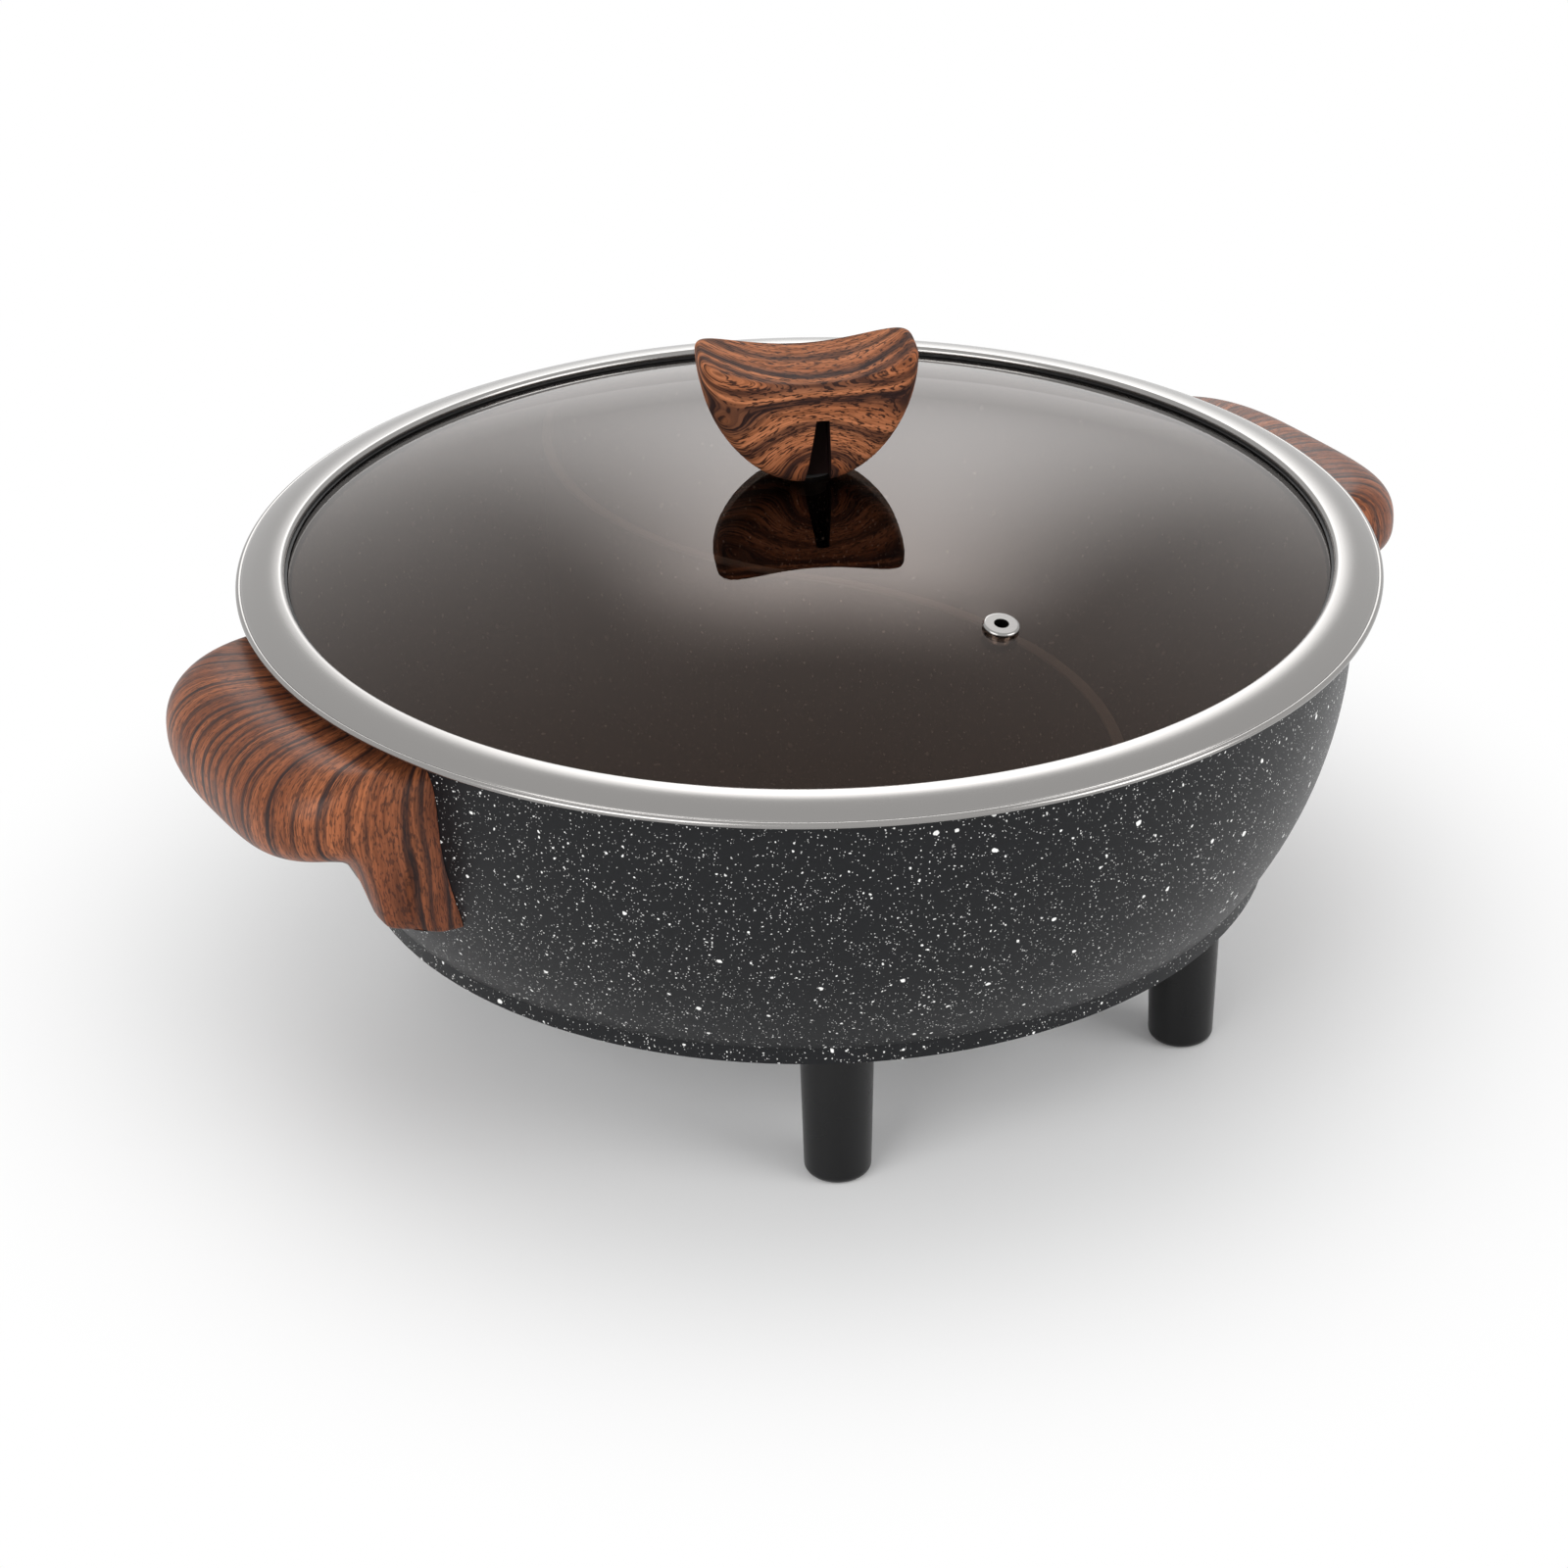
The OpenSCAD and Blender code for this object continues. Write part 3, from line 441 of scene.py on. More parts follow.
def cut_away(piece, *cutters):
    """Cuts other closed objects out of a piece and removes them."""
    for cutter in cutters:
        cut = piece.modifiers.new("cut", "BOOLEAN")
        cut.operation = "DIFFERENCE"
        cut.solver = "EXACT"
        cut.object = cutter
    graph = bpy.context.evaluated_depsgraph_get()
    mesh = bpy.data.meshes.new_from_object(piece.evaluated_get(graph))
    piece.modifiers.clear()
    piece.data = mesh
    for cutter in cutters:
        bpy.data.objects.remove(cutter)


def start_tree(name, inputs):
    """A geometry tree with a geometry input and these named inputs, and the sockets that give them."""
    tree = bpy.data.node_groups.new(name, "GeometryNodeTree")
    tree.interface.new_socket("Geometry", in_out="INPUT", socket_type="NodeSocketGeometry")
    for label, kind in inputs:
        tree.interface.new_socket(label, in_out="INPUT", socket_type="NodeSocket" + kind)
    tree.interface.new_socket("Geometry", in_out="OUTPUT", socket_type="NodeSocketGeometry")
    return tree, add_node(tree, "NodeGroupInput").outputs


def end_tree(tree, geometry, material):
    """Makes a tree's copies real, gives them a material and puts them out."""
    real = add_node(tree, "GeometryNodeRealizeInstances", {"Geometry": geometry})
    dressed = add_node(tree, "GeometryNodeSetMaterial", {"Geometry": real, "Material": material})
    add_node(tree, "NodeGroupOutput", {"Geometry": dressed})
    return tree


def run_tree(piece, tree, values):
    """Runs a geometry tree with these inputs on a piece, and keeps the mesh that it makes."""
    modifier = piece.modifiers.new(tree.name, "NODES")
    modifier.node_group = tree
    for socket in tree.interface.items_tree:
        if socket.in_out == "INPUT" and socket.name in values:
            modifier[socket.identifier] = values[socket.name]
    graph = bpy.context.evaluated_depsgraph_get()
    mesh = bpy.data.meshes.new_from_object(piece.evaluated_get(graph))
    piece.modifiers.clear()
    piece.data = mesh


def ring_tree():
    """Sweeps a section, drawn as a loop of edges, round a circle."""
    tree, given = start_tree("sweep_round_circle",
                             (("Radius", "Float"), ("Steps", "Int"), ("Material", "Material")))
    path = add_node(tree, "GeometryNodeCurvePrimitiveCircle",
                    {"Resolution": given["Steps"], "Radius": given["Radius"]})
    section = add_node(tree, "GeometryNodeMeshToCurve", {"Mesh": given["Geometry"]})
    swept = add_node(tree, "GeometryNodeCurveToMesh", {"Curve": path, "Profile Curve": section})
    return end_tree(tree, swept, given["Material"])


def repeat_tree():
    """Sets a copy of an object, turned the same way, on each point of a mesh."""
    tree, given = start_tree("repeat_on_points",
                             (("Piece", "Object"), ("Turn", "Vector"), ("Material", "Material")))
    source = add_node(tree, "GeometryNodeObjectInfo", {"Object": given["Piece"], "As Instance": True})
    copies = add_node(tree, "GeometryNodeInstanceOnPoints",
                      {"Points": given["Geometry"], "Instance": source.outputs["Geometry"],
                       "Rotation": given["Turn"]})
    return end_tree(tree, copies, given["Material"])


def smooth(piece, material, crease=38):
    """Shades a piece smooth up to a crease angle in degrees and gives it its one material."""
    piece.data.materials.clear()
    piece.data.materials.append(material)
    piece.data.shade_smooth()
    piece.data.set_sharp_from_angle(angle=math.radians(crease))


def wall_profile(grow):
    """The bowl's outer wall from its base to its lip, grown by a gap, as (radius, height) points."""
    bowl_r = BOWL_HIGH.x
    shoulder, band = 115.5 * MM, 48.7 * MM
    drop, narrow = shoulder - band, 20.25 * MM
    side_r = (narrow ** 2 + drop ** 2) / (2 * narrow)
    points = [(0, band)]
    for k in range(33):
        z = band + drop * k / 32
        points.append((bowl_r - side_r + math.sqrt(side_r ** 2 - (shoulder - z) ** 2) + grow, z))
    points += [(bowl_r + grow, BOWL_HIGH.z), (0, BOWL_HIGH.z)]
    return points


class HOTPOT_OT_handles(bpy.types.Operator):
    """Model both wood-grain handles on the bowl's wall"""

    bl_idname = "hotpot.handles"
    bl_label = "Handles"

    def execute(self, context):
        sizes, colours = context.scene.hot_pot_sizes, context.scene.hot_pot_colours
        wood = zebra_wood("lacquered_striped_rosewood", colours.wood_light, colours.wood_middle,
                          colours.wood_dark, sizes.handle_stripe, line=1.25 * MM, pores=0.6, rough=0.36,
                          sheen=0.18)
        for name, side in (("handle_right", 1), ("handle_left", -1)):
            piece = make_piece(name + "_wood", self.body(sizes, side))
            cut_away(piece, lathe("wall_cutter", wall_profile(0.15 * MM), 288), self.screw_hole(side))
            smooth(piece, wood)
            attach(piece, "pot")
            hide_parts(name)
        return {"FINISHED"}

    def screw_hole(self, side):
        """The cutter of the hole that lets a screw's head into the ear from below."""
        seat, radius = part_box("handle_screws")[0].z + 2.8 * MM, 4.4 * MM
        start = seat - 50 * MM
        hole = lathe("screw_cutter", [(0, start), (radius, start), (radius, seat), (0, seat)], 48)
        hole.data.transform(Matrix.Translation((side * EAR_SCREW_X, 0, 0)))
        return hole

    def body(self, sizes, side):
        """A handle's whole form, before the bowl's wall is cut out of it."""
        bowl_r, top, bottom = BOWL_HIGH.x, HANDLE_HIGH.z, HANDLE_LOW.z
        centre = bowl_r - 15 * MM
        half_x, half_y = sizes.handle_reach - centre, sizes.handle_length / 2
        middle, ear_low = top - sizes.ear_thickness / 2, top - sizes.ear_thickness
        foot_out, foot_start, foot_slope = 9 * MM, half_y - sizes.foot_length, 6.2 * MM
        square, top_curve = 3.6, 0.88
        right = math.pi / 2
        columns = 288

        def under(x, y):
            foot = (ease(foot_start - 5 * MM, foot_start + 5 * MM, abs(y))
                    * ease(bowl_r + foot_out + 4 * MM, bowl_r + foot_out - 4 * MM, x))
            cove = 3 * MM * ease(bowl_r + 19 * MM, bowl_r + 3 * MM, x)
            ear = ear_low + 3.4 * MM * (y / half_y) ** 2 - cove
            low = bottom + foot_slope * (1 - ease(bowl_r + foot_out, bowl_r - 10 * MM, x))
            return (1 - foot) * ear + foot * low

        def point(angle, over, turn):
            edge_x = round_rect(half_x, half_y, square, angle)[0]
            out = ease(foot_out - 3 * MM, foot_out + 9 * MM, centre + edge_x - bowl_r)
            roll_x, roll_y = (17.8 * MM, 5.6 * MM) if over else (8 * MM, (2.5 + 16.5 * out) * MM)
            bent = min(turn, right)
            into = 1 - max(0.0, math.cos(bent)) ** (top_curve if over else 1)
            left = 1 - max(0.0, turn / right - 1)
            x, y = round_rect((half_x - roll_x * into) * left, (half_y - roll_y * into) * left, square, angle)
            x += centre
            goal = top if over else under(x, y)
            z = middle + (goal - middle) * math.sin(bent) ** (top_curve if over else 0.6 + 0.2 * out)
            flute = 0.0
            if turn <= right:
                flute = (2.2 * MM * math.exp(-((x - bowl_r + 4 * MM) / (5 * MM)) ** 2)
                         * ease(middle, ear_low - 6 * MM, z))
            y -= math.copysign(min(abs(y), flute), y)
            return Vector((side * x, side * y, z))

        turns = [(True, math.radians(t)) for t in (171, 162, 150, 138, 126, 114, 102)]
        turns += [(True, math.radians(90 - 3.75 * k)) for k in range(25)]
        turns += [(False, math.radians(3.75 * k)) for k in range(1, 25)]
        turns += [(False, math.radians(90 + 3 * k)) for k in range(1, 28)]
        angles = [math.pi * (2 * i / columns - 1) for i in range(columns)]
        rings = [[point(a, over, t) for a in angles] for over, t in turns]
        run = [[0.0] * columns]
        for k in range(1, len(rings)):
            run.append([run[-1][i] + (rings[k][i] - rings[k - 1][i]).length for i in range(columns)])

        # The stripes fan out from a line inside the bowl and run down over the ear
        def grain(k, i):
            p = rings[k][i % columns]
            return 80 * MM * math.atan2(side * p.y, side * p.x - 95 * MM) + 0.5 * side, run[k][i % columns]

        first = Vector((side * centre, 0, top))
        last = Vector((side * centre, 0, under(centre, 0)))
        mesh = ring_mesh("handle_wood", rings, first, last, grain)
        outward(mesh)
        return mesh


class HOTPOT_OT_knob(bpy.types.Operator):
    """Model the lid's saddle-shaped knob with its notches"""

    bl_idname = "hotpot.knob"
    bl_label = "Knob"

    # How far the knob is turned about the lid's axis
    turn = math.radians(-24.5)

    def execute(self, context):
        sizes, colours = context.scene.hot_pot_sizes, context.scene.hot_pot_colours
        wood = zebra_wood("lacquered_figured_rosewood", colours.knob_light, colours.knob_middle,
                          colours.wood_dark, sizes.knob_stripe, line=2.3 * MM, pores=0.9, rough=0.6,
                          sheen=0.08)
        piece = make_piece("lid_knob_wood", self.body(sizes))
        cut_away(piece, self.wedge(1), self.wedge(-1), self.bore())
        piece.data.transform(Matrix.Translation((0, 0, GASKET_HIGH.z)) @ Matrix.Rotation(self.turn, 4, "Z"))
        smooth(piece, wood, 32)
        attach(piece, "lid")
        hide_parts("lid_knob")
        return {"FINISHED"}

    def body(self, sizes):
        """The knob's form about its own axis, standing on z = 0."""
        half_x, half_y = sizes.knob_width / 2, sizes.knob_depth / 2
        edge_r, swell, full, square = 2.1 * MM, 1.04, 0.32, 4
        right, start = math.pi / 2, math.radians(15)
        columns = 240

        def saddle(x):
            return sizes.knob_saddle + sizes.knob_tip * (x / half_x) ** 2

        def point(angle, grow, edge, left):
            body = saddle(round_rect(half_x, half_y, square, angle)[0]) - edge_r
            wide = math.sin(grow) ** swell
            up = 1 - (max(0.0, math.cos(grow)) / math.cos(start)) ** swell
            inset = edge_r * (1 - math.cos(edge))
            a, b = (half_x * wide - inset) * left, (half_y * wide ** full - inset) * left
            x, y = round_rect(a, b, square, angle)
            return Vector((x, y, body * up + math.sin(edge) * (saddle(x) - body)))

        steps = [(start + (right - start) * k / 30, 0.0, 1.0) for k in range(31)]
        steps += [(right, right * k / 10, 1.0) for k in range(1, 11)]
        steps += [(right, right, 1 - k / 16) for k in range(1, 16)]
        angles = [2 * math.pi * i / columns for i in range(columns)]
        rings = [[point(a, *s) for a in angles] for s in steps]

        # Growth rings round a line low in the knob's front, tilted back so that the saddle shows long bands
        def grain(k, i):
            p = rings[k][i % columns]
            flat = 0.8 - 0.5 * ease(18 * MM, 30 * MM, p.z)
            return math.hypot(flat * (p.x - 2 * MM), p.z - 4 * MM) - 0.6 * p.y, p.x + 0.6 * p.y

        mesh = ring_mesh("knob_wood", rings, Vector((0, 0, 0)), Vector((0, 0, sizes.knob_saddle)), grain)
        outward(mesh)
        return mesh

    def wedge(self, side):
        """The cutter of a notch: wide at the knob's base, narrow and leaning to one side at its top."""
        below, height, core, far = (n * MM for n in (-1, 20, 6.5, 30))
        outline = [(x * MM, z) for x, z in ((-2.5, below), (5.1, below), (4.2, height), (0.6, height))]
        return prism("notch_cutter", [(side * x, -side * y, z) for y in (core, far) for x, z in outline])

    def bore(self):
        """The cutter of the hole for the threaded insert."""
        radius, deep = 4.65 * MM, 14.15 * MM
        return lathe("insert_cutter", [(0, -MM), (radius, -MM), (radius, deep), (0, deep)], 64)


class HOTPOT_OT_bowl(bpy.types.Operator):
    """Give the bowl and its divider their stone-flecked coating"""

    bl_idname = "hotpot.bowl"
    bl_label = "Bowl and Divider"

    def execute(self, context):
        sizes, colours = context.scene.hot_pot_sizes, context.scene.hot_pot_colours
        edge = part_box("divider_wall")[1].z
        dress(stone_coating("stone_nonstick_coating", colours, sizes), "pot_bowl")
        # The divider's top edge carries a painted highlight
        dress(stone_coating("stone_nonstick_coating_painted_edge_highlight", colours, sizes, edge), "divider_wall")
        return {"FINISHED"}


class HOTPOT_OT_lid(bpy.types.Operator):
    """Sweep the lid's steel rim and give the lid its glass, seal and vent"""

    bl_idname = "hotpot.lid"
    bl_label = "Lid"

    def execute(self, context):
        sizes, colours = context.scene.hot_pot_sizes, context.scene.hot_pot_colours
        steel = turned_steel("polished_stainless_steel", colours.steel, rough=0.2, line=0.35 * MM)
        dress(tinted_glass(colours), "lid_glass")
        dress(steel, "vent_grommet")
        rubber = moulded("black_silicone_rubber", linear("#0E0E0F"), rough=0.55, grit=0.3 * MM)[0]
        dress(rubber, "lid_seal", "knob_gasket")
        section = self.section(sizes)
        path = 150 * MM
        mesh = bpy.data.meshes.new("rim_section")
        mesh.from_pydata([(r - path, -z, 0) for r, z in section],
                         [(k, (k + 1) % len(section)) for k in range(len(section))], [])
        piece = make_piece("lid_rim_steel", mesh)
        run_tree(piece, ring_tree(), {"Radius": path, "Steps": 512, "Material": steel})
        outward(piece.data)
        smooth(piece, steel, 50)
        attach(piece, "lid")
        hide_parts("lid_rim")
        return {"FINISHED"}

    def section(self, sizes):
        """The rim's closed section as (radius, height) points: roll, arch, bead, skirt and flange."""
        sheet, roll, bead = sizes.rim_sheet, sizes.rim_roll, sizes.rim_bead / 2
        inner, outer, top, low = sizes.rim_inner, RIM_HIGH.x, RIM_HIGH.z, RIM_LOW.z
        rise, lip, skirt = 4.9 * MM, 0.4 * MM, 149.4 * MM
        crest, bead_r, bead_z = inner + roll, outer - bead, top - rise + bead
        drop = top - bead_z - bead
        arch = ((bead_r - crest) ** 2 + drop ** 2) / (2 * drop)

        def on_arch(radius, r):
            return r, top - arch + math.sqrt(radius ** 2 - (r - crest) ** 2)

        def turned(r, z, radius, start, end, steps):
            angles = [math.radians(start + (end - start) * k / steps) for k in range(steps + 1)]
            return [(r + radius * math.cos(a), z + radius * math.sin(a)) for a in angles]

        points = [(inner, top - roll - lip)]
        points += turned(crest, top - roll, roll, 180, 90, 12)
        points += [on_arch(arch, crest + (bead_r - bead - crest) * k / 24) for k in range(1, 25)]
        points += turned(bead_r, bead_z, bead, 120, -160, 24)
        points += [on_arch(arch - sheet, bead_r - bead + (skirt - bead_r + bead) * k / 16) for k in range(17)]
        points += [(skirt, low), (inner, low), (inner, low + sheet), (skirt - sheet, low + sheet)]
        points += [on_arch(arch - sheet, skirt - sheet)]
        points += turned(crest, top - roll, roll - sheet, 90, 180, 6)
        points += [(inner + sheet, top - roll - lip)]
        return points


class HOTPOT_OT_base(bpy.types.Operator):
    """Give the legs, cover, inlet and hidden metal their finishes"""

    bl_idname = "hotpot.base"
    bl_label = "Base and Inlet"

    def execute(self, context):
        colours = context.scene.hot_pot_colours
        plastic = moulded("moulded_black_phenolic", colours.plastic, rough=0.28, grit=0.35 * MM, sheen=0.3)[0]
        dress(plastic, "inlet_shroud", *LEGS)
        sheet = turned_steel("rolled_steel_sheet", linear("#A9A9AA"), rough=0.36, line=0.6 * MM)
        dress(sheet, "bottom_cover")
        dress(metal_stock("oxidised_steel_tube", "#8C8B8A", 0.4, 0.5 * MM), "heating_element")
        dress(metal_stock("zinc_plated_steel_washer", "#B9BABB", 0.3, 0.4 * MM), "knob_screw", "knob_washer")
        dress(metal_stock("nickel_plated_brass", "#D8CDA8", 0.2, 0.4 * MM),
              "terminal_pin_left", "terminal_pin_right", "knob_insert")
        dress(metal_stock("cast_aluminium", "#B4B4B6", 0.42, 0.6 * MM),
              "probe_tube", "handle_bracket_left", "handle_bracket_right")
        return {"FINISHED"}


class HOTPOT_OT_screws(bpy.types.Operator):
    """Set cross-recess screws in the legs, the handles and the inlet"""

    bl_idname = "hotpot.screws"
    bl_label = "Screws"

    def execute(self, context):
        zinc = metal_stock("zinc_plated_steel", "#B9BABB", 0.3, 0.4 * MM)
        tree = repeat_tree()
        legs = [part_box(name) for name in LEGS]
        leg_low, leg_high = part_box("leg_screws")
        ear_low, ear_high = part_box("handle_screws")
        inlet_low, inlet_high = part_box("inlet_screws")
        inlet_head = 5.4
        inlet_x = inlet_high.x - inlet_head / 2 * MM
        # Each kind: node, shaft, head and its height in millimetres, length, places of the head's end, turn
        kinds = (("leg_screws", 4, 7.6, 2.4, leg_high.z - leg_low.z,
                  [((low.x + high.x) / 2, (low.y + high.y) / 2, leg_low.z) for low, high in legs], 0),
                 ("handle_screws", 4, 7.6, 2.8, ear_high.z - ear_low.z,
                  [(side * EAR_SCREW_X, 0, ear_low.z) for side in (-1, 1)], 0),
                 ("inlet_screws", 3, inlet_head, 2.1, inlet_high.y - inlet_low.y,
                  [(side * inlet_x, inlet_high.y, (inlet_low.z + inlet_high.z) / 2) for side in (-1, 1)], 90))
        for node, shaft, head, deep, long, places, turn in kinds:
            source = self.screw(shaft / 2 * MM, head / 2 * MM, deep * MM, long)
            mesh = bpy.data.meshes.new(node + "_places")
            mesh.from_pydata(places, [], [])
            piece = make_piece(node + "_zinc", mesh)
            run_tree(piece, tree, {"Piece": source, "Turn": (math.radians(turn), 0, 0), "Material": zinc})
            bpy.data.objects.remove(source)
            smooth(piece, zinc, 35)
            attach(piece, "pot")
            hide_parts(node)
        return {"FINISHED"}

    def screw(self, shaft, head, deep, long):
        """A pan-head screw that stands on its head, with a cross recess in it."""
        crown = [(0, 0), (0.45 * head, 0), (0.8 * head, 0.12 * deep), (head, 0.5 * deep), (head, deep)]
        stem = [(shaft, deep), (shaft, long - shaft / 2), (shaft / 2, long), (0, long)]
        body = lathe("screw", crown + stem, 48)
        cutters = []
        for wide, thick in ((0.62 * head, 0.13 * head), (0.13 * head, 0.62 * head)):
            outline = ((-wide, -thick), (wide, -thick), (wide, thick), (-wide, thick))
            cutters.append(prism("recess_cutter", [(x, y, z) for z in (-MM, 0.6 * deep) for x, y in outline]))
        cut_away(body, *cutters)
        return body


class HOTPOT_OT_stage(bpy.types.Operator):
    """Set the floor, the studio lights and the camera"""

    bl_idname = "hotpot.stage"
    bl_label = "Stage"

    def execute(self, context):
        self.floor(context)
        self.world(context.scene)
        self.lights(context.scene)
        self.camera(context.scene)
        context.scene.view_settings.view_transform = "Standard"
        return {"FINISHED"}

    def floor(self, context):
        """A wide paper floor that fades to white between two distances from the pot's axis."""
        reach, near, far = 6.0, 0.13, 0.28
        mesh = bpy.data.meshes.new("floor")
        mesh.from_pydata([(-reach, -reach, 0), (reach, -reach, 0), (reach, reach, 0), (-reach, reach, 0)],
                         [], [(0, 1, 2, 3)])
        material, tree, output = start_material("matt_studio_paper")
        place = add_node(tree, "ShaderNodeTexCoord").outputs["Object"]
        pulp = add_node(tree, "ShaderNodeTexNoise", {"Vector": place, "Scale": 1 / (2 * MM), "Detail": 2.0})
        gloss = add_node(tree, "ShaderNodeMapRange",
                         {"Value": pulp.outputs["Fac"], "To Min": 0.5, "To Max": 0.6})
        paper = finish_material(tree, output, base_color=rgba(context.scene.hot_pot_colours.floor),
                                roughness=gloss)
        # The fade shows directly, in gloss and through glass, and leaves the shadow near the pot
        away = add_node(tree, "ShaderNodeVectorMath", {0: place}, operation="LENGTH")
        fade = add_node(tree, "ShaderNodeMapRange",
                        {"Value": away, "From Min": near, "From Max": far, "To Min": 0.05,
                         "To Max": 1.0}, interpolation_type="SMOOTHSTEP")
        share = add_node(tree, "ShaderNodeMath", {0: self.seen(tree), 1: fade}, operation="MULTIPLY")
        white = add_node(tree, "ShaderNodeEmission", {"Color": (1, 1, 1, 1), "Strength": 1.0})
        mixed = add_node(tree, "ShaderNodeMixShader", {0: share, 1: paper, 2: white})
        tree.links.new(mixed.outputs["Shader"], output.inputs["Surface"])
        mesh.materials.append(material)
        make_piece("floor", mesh)

    def seen(self, tree):
        """1 for rays that show the background: straight to the camera, in gloss or through glass."""
        path = add_node(tree, "ShaderNodeLightPath").outputs
        gloss = add_node(tree, "ShaderNodeMath",
                         {0: path["Is Glossy Ray"], 1: path["Is Transmission Ray"]}, operation="MAXIMUM")
        return add_node(tree, "ShaderNodeMath", {0: path["Is Camera Ray"], 1: gloss}, operation="MAXIMUM")

    def world(self, scene):
        """White all round, a strip light behind the pot in gloss, and a fill from above on matt surfaces."""
        world = bpy.data.worlds.new("studio")
        world.use_nodes = True
        tree = world.node_tree
        tree.nodes.clear()
        path = add_node(tree, "ShaderNodeLightPath").outputs
        # The strip's bearing, and its half widths where it is full and where it has faded out
        turn, full, faded = (math.radians(angle) for angle in (33.5, 3, 18))
        # The strip's foot, its brightest height, and the heights between which its upper end fades out
        foot, peak, fading, gone = [0.1] + [math.sin(math.radians(angle)) for angle in (41, 38, 53)]
        aim = add_node(tree, "ShaderNodeTexCoord").outputs["Generated"]
        ahead = add_node(tree, "ShaderNodeVectorMath", {0: aim, 1: (math.sin(turn), math.cos(turn), 0)},
                         operation="DOT_PRODUCT")
        aside = add_node(tree, "ShaderNodeVectorMath", {0: aim, 1: (math.cos(turn), -math.sin(turn), 0)},
                         operation="DOT_PRODUCT")
        bearing = add_node(tree, "ShaderNodeMath", {0: aside, 1: ahead}, operation="ARCTAN2")
        off = add_node(tree, "ShaderNodeMath", {0: bearing}, operation="ABSOLUTE")
        wide = add_node(tree, "ShaderNodeMapRange",
                        {"Value": off, "From Min": full, "From Max": faded, "To Min": 1.0,
                         "To Max": 0.0}, interpolation_type="SMOOTHSTEP")
        height = add_node(tree, "ShaderNodeSeparateXYZ", {"Vector": aim}).outputs["Z"]
        rise = add_node(tree, "ShaderNodeMapRange",
                        {"Value": height, "From Min": foot, "From Max": peak, "To Min": 0.2, "To Max": 4.2})
        end = add_node(tree, "ShaderNodeMapRange",
                       {"Value": height, "From Min": fading, "From Max": gone, "To Min": 1.0, "To Max": 0.0},
                       interpolation_type="SMOOTHSTEP")
        tall = add_node(tree, "ShaderNodeMath", {0: rise, 1: end}, operation="MULTIPLY")
        strip = add_node(tree, "ShaderNodeMath", {0: tall, 1: wide, 2: 1.0}, operation="MULTIPLY_ADD")
        sky = add_node(tree, "ShaderNodeMapRange", {"Value": height, "To Min": 0.12, "To Max": 1.05})
        fill, gloss, white = (
            add_node(tree, "ShaderNodeBackground", {"Color": (1, 1, 1, 1), "Strength": strength})
            for strength in (sky, strip, 1.0))
        lit = add_node(tree, "ShaderNodeMixShader", {0: path["Is Glossy Ray"], 1: fill, 2: gloss})
        straight = add_node(tree, "ShaderNodeMath",
                            {0: path["Is Camera Ray"], 1: path["Is Transmission Ray"]}, operation="MAXIMUM")
        mixed = add_node(tree, "ShaderNodeMixShader", {0: straight, 1: lit, 2: white})
        add_node(tree, "ShaderNodeOutputWorld", {"Surface": mixed})
        scene.world = world

    def lights(self, scene):
        """Two square softboxes in front of the pot, one on each side."""
        target, side, power = Vector((0, 0, 0.08)), 1.2, 16.0
        for name, place in (("left_softbox", (-1.5, -0.6, 0.75)), ("right_softbox", (0.9, -1.5, 0.7))):
            lamp = bpy.data.lights.new(name, "AREA")
            lamp.shape = "RECTANGLE"
            lamp.size = lamp.size_y = side
            lamp.energy = power
            box = bpy.data.objects.new(name, lamp)
            box.location = place
            box.rotation_euler = (target - Vector(place)).to_track_quat("-Z", "Y").to_euler()
            box.visible_camera = False
            scene.collection.objects.link(box)

    def camera(self, scene):
        """A camera 1.1 m from the lid's middle that looks a little below it."""
        turn, rise, roll, left, below = (math.radians(angle) for angle in (31.48, 24.92, 0.66, 0.4, 3.35))
        distance, middle = 1.1, Vector((0, 0, 0.129))
        toward = Vector((math.sin(turn) * math.cos(rise), math.cos(turn) * math.cos(rise), -math.sin(rise)))
        right = Vector((math.cos(turn), -math.sin(turn), 0))
        up = right.cross(toward)
        ahead = (toward - left * right - below * up).normalized()
        right = (right - right.dot(ahead) * ahead).normalized()
        up = right.cross(ahead)
        across = math.cos(roll) * right - math.sin(roll) * up
        upward = math.sin(roll) * right + math.cos(roll) * up
        view = bpy.data.cameras.new("product_camera")
        view.lens, view.sensor_width = 89.7, 36.0
        view.clip_end = 50
        camera = bpy.data.objects.new("product_camera", view)
        turned = Matrix((across, upward, -ahead)).transposed().to_4x4()
        camera.matrix_world = Matrix.Translation(middle - distance * toward) @ turned
        scene.collection.objects.link(camera)
        scene.camera = camera


class HOTPOT_PT_panel(bpy.types.Panel):
    """Sizes, colours and making of the hot pot"""

    bl_idname = "HOTPOT_PT_panel"
    bl_label = "Hot Pot"
    bl_space_type = "VIEW_3D"
    bl_region_type = "UI"
    bl_category = "Hot Pot"

    def draw(self, context):
        for group in (context.scene.hot_pot_sizes, context.scene.hot_pot_colours):
            for name in group.__annotations__:
                self.layout.prop(group, name)
        for operator in OPERATORS:
            self.layout.operator(operator.bl_idname)


OPERATORS = (HOTPOT_OT_bowl, HOTPOT_OT_lid, HOTPOT_OT_base, HOTPOT_OT_screws, HOTPOT_OT_handles,
             HOTPOT_OT_knob, HOTPOT_OT_stage)
CLASSES = (HotPotSizes, HotPotColours) + OPERATORS + (HOTPOT_PT_panel,)


def register():
    for cls in CLASSES:
        bpy.utils.register_class(cls)
    bpy.types.Scene.hot_pot_sizes = bpy.props.PointerProperty(type=HotPotSizes)
    bpy.types.Scene.hot_pot_colours = bpy.props.PointerProperty(type=HotPotColours)


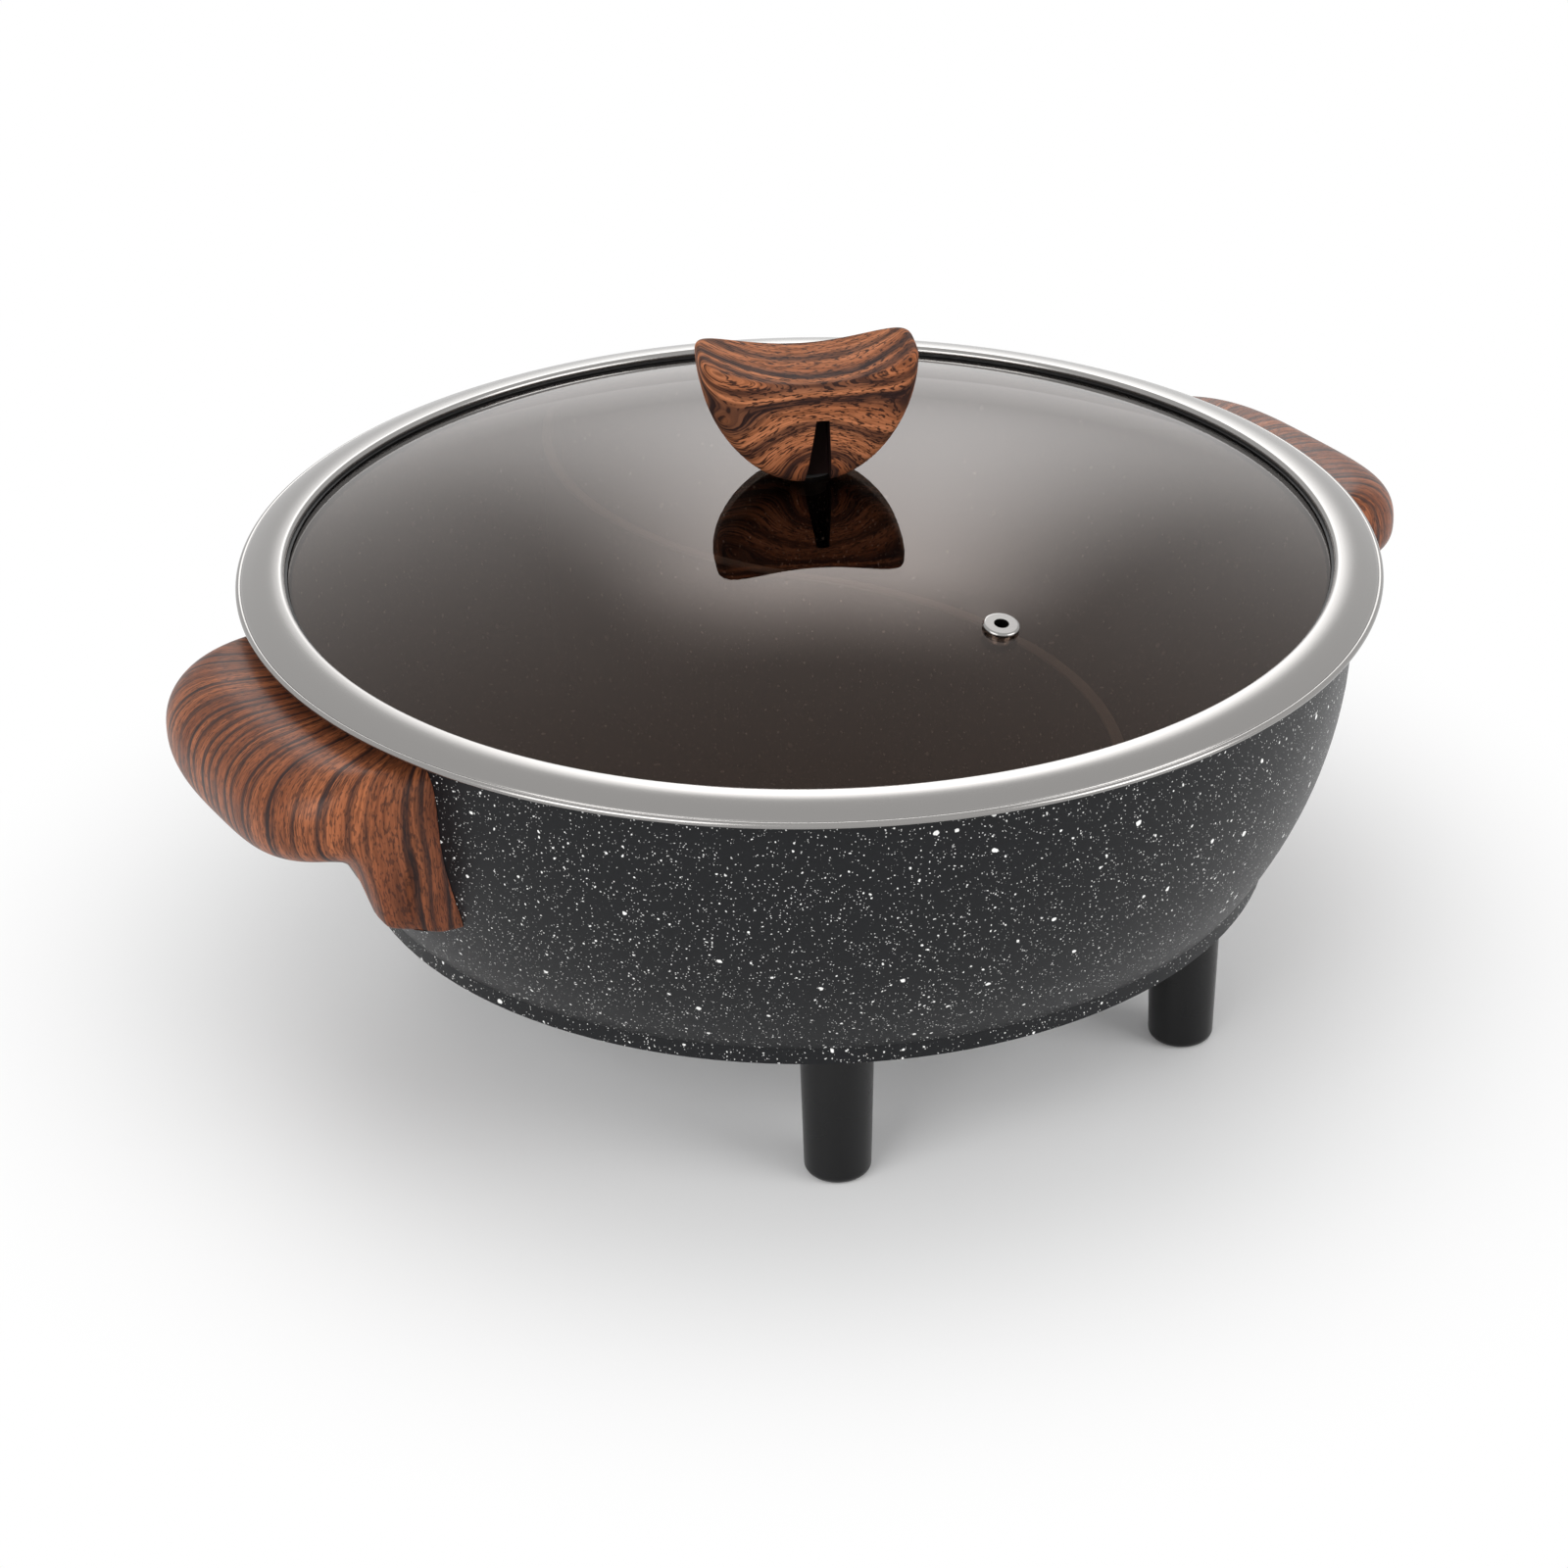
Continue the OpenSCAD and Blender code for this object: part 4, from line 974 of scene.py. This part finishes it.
def unregister():
    del bpy.types.Scene.hot_pot_colours
    del bpy.types.Scene.hot_pot_sizes
    for cls in reversed(CLASSES):
        bpy.utils.unregister_class(cls)


def main():
    register()
    bpy.ops.hotpot.bowl()
    bpy.ops.hotpot.lid()
    bpy.ops.hotpot.base()
    bpy.ops.hotpot.screws()
    bpy.ops.hotpot.handles()
    bpy.ops.hotpot.knob()
    bpy.ops.hotpot.stage()


if __name__ == "__main__":
    main()
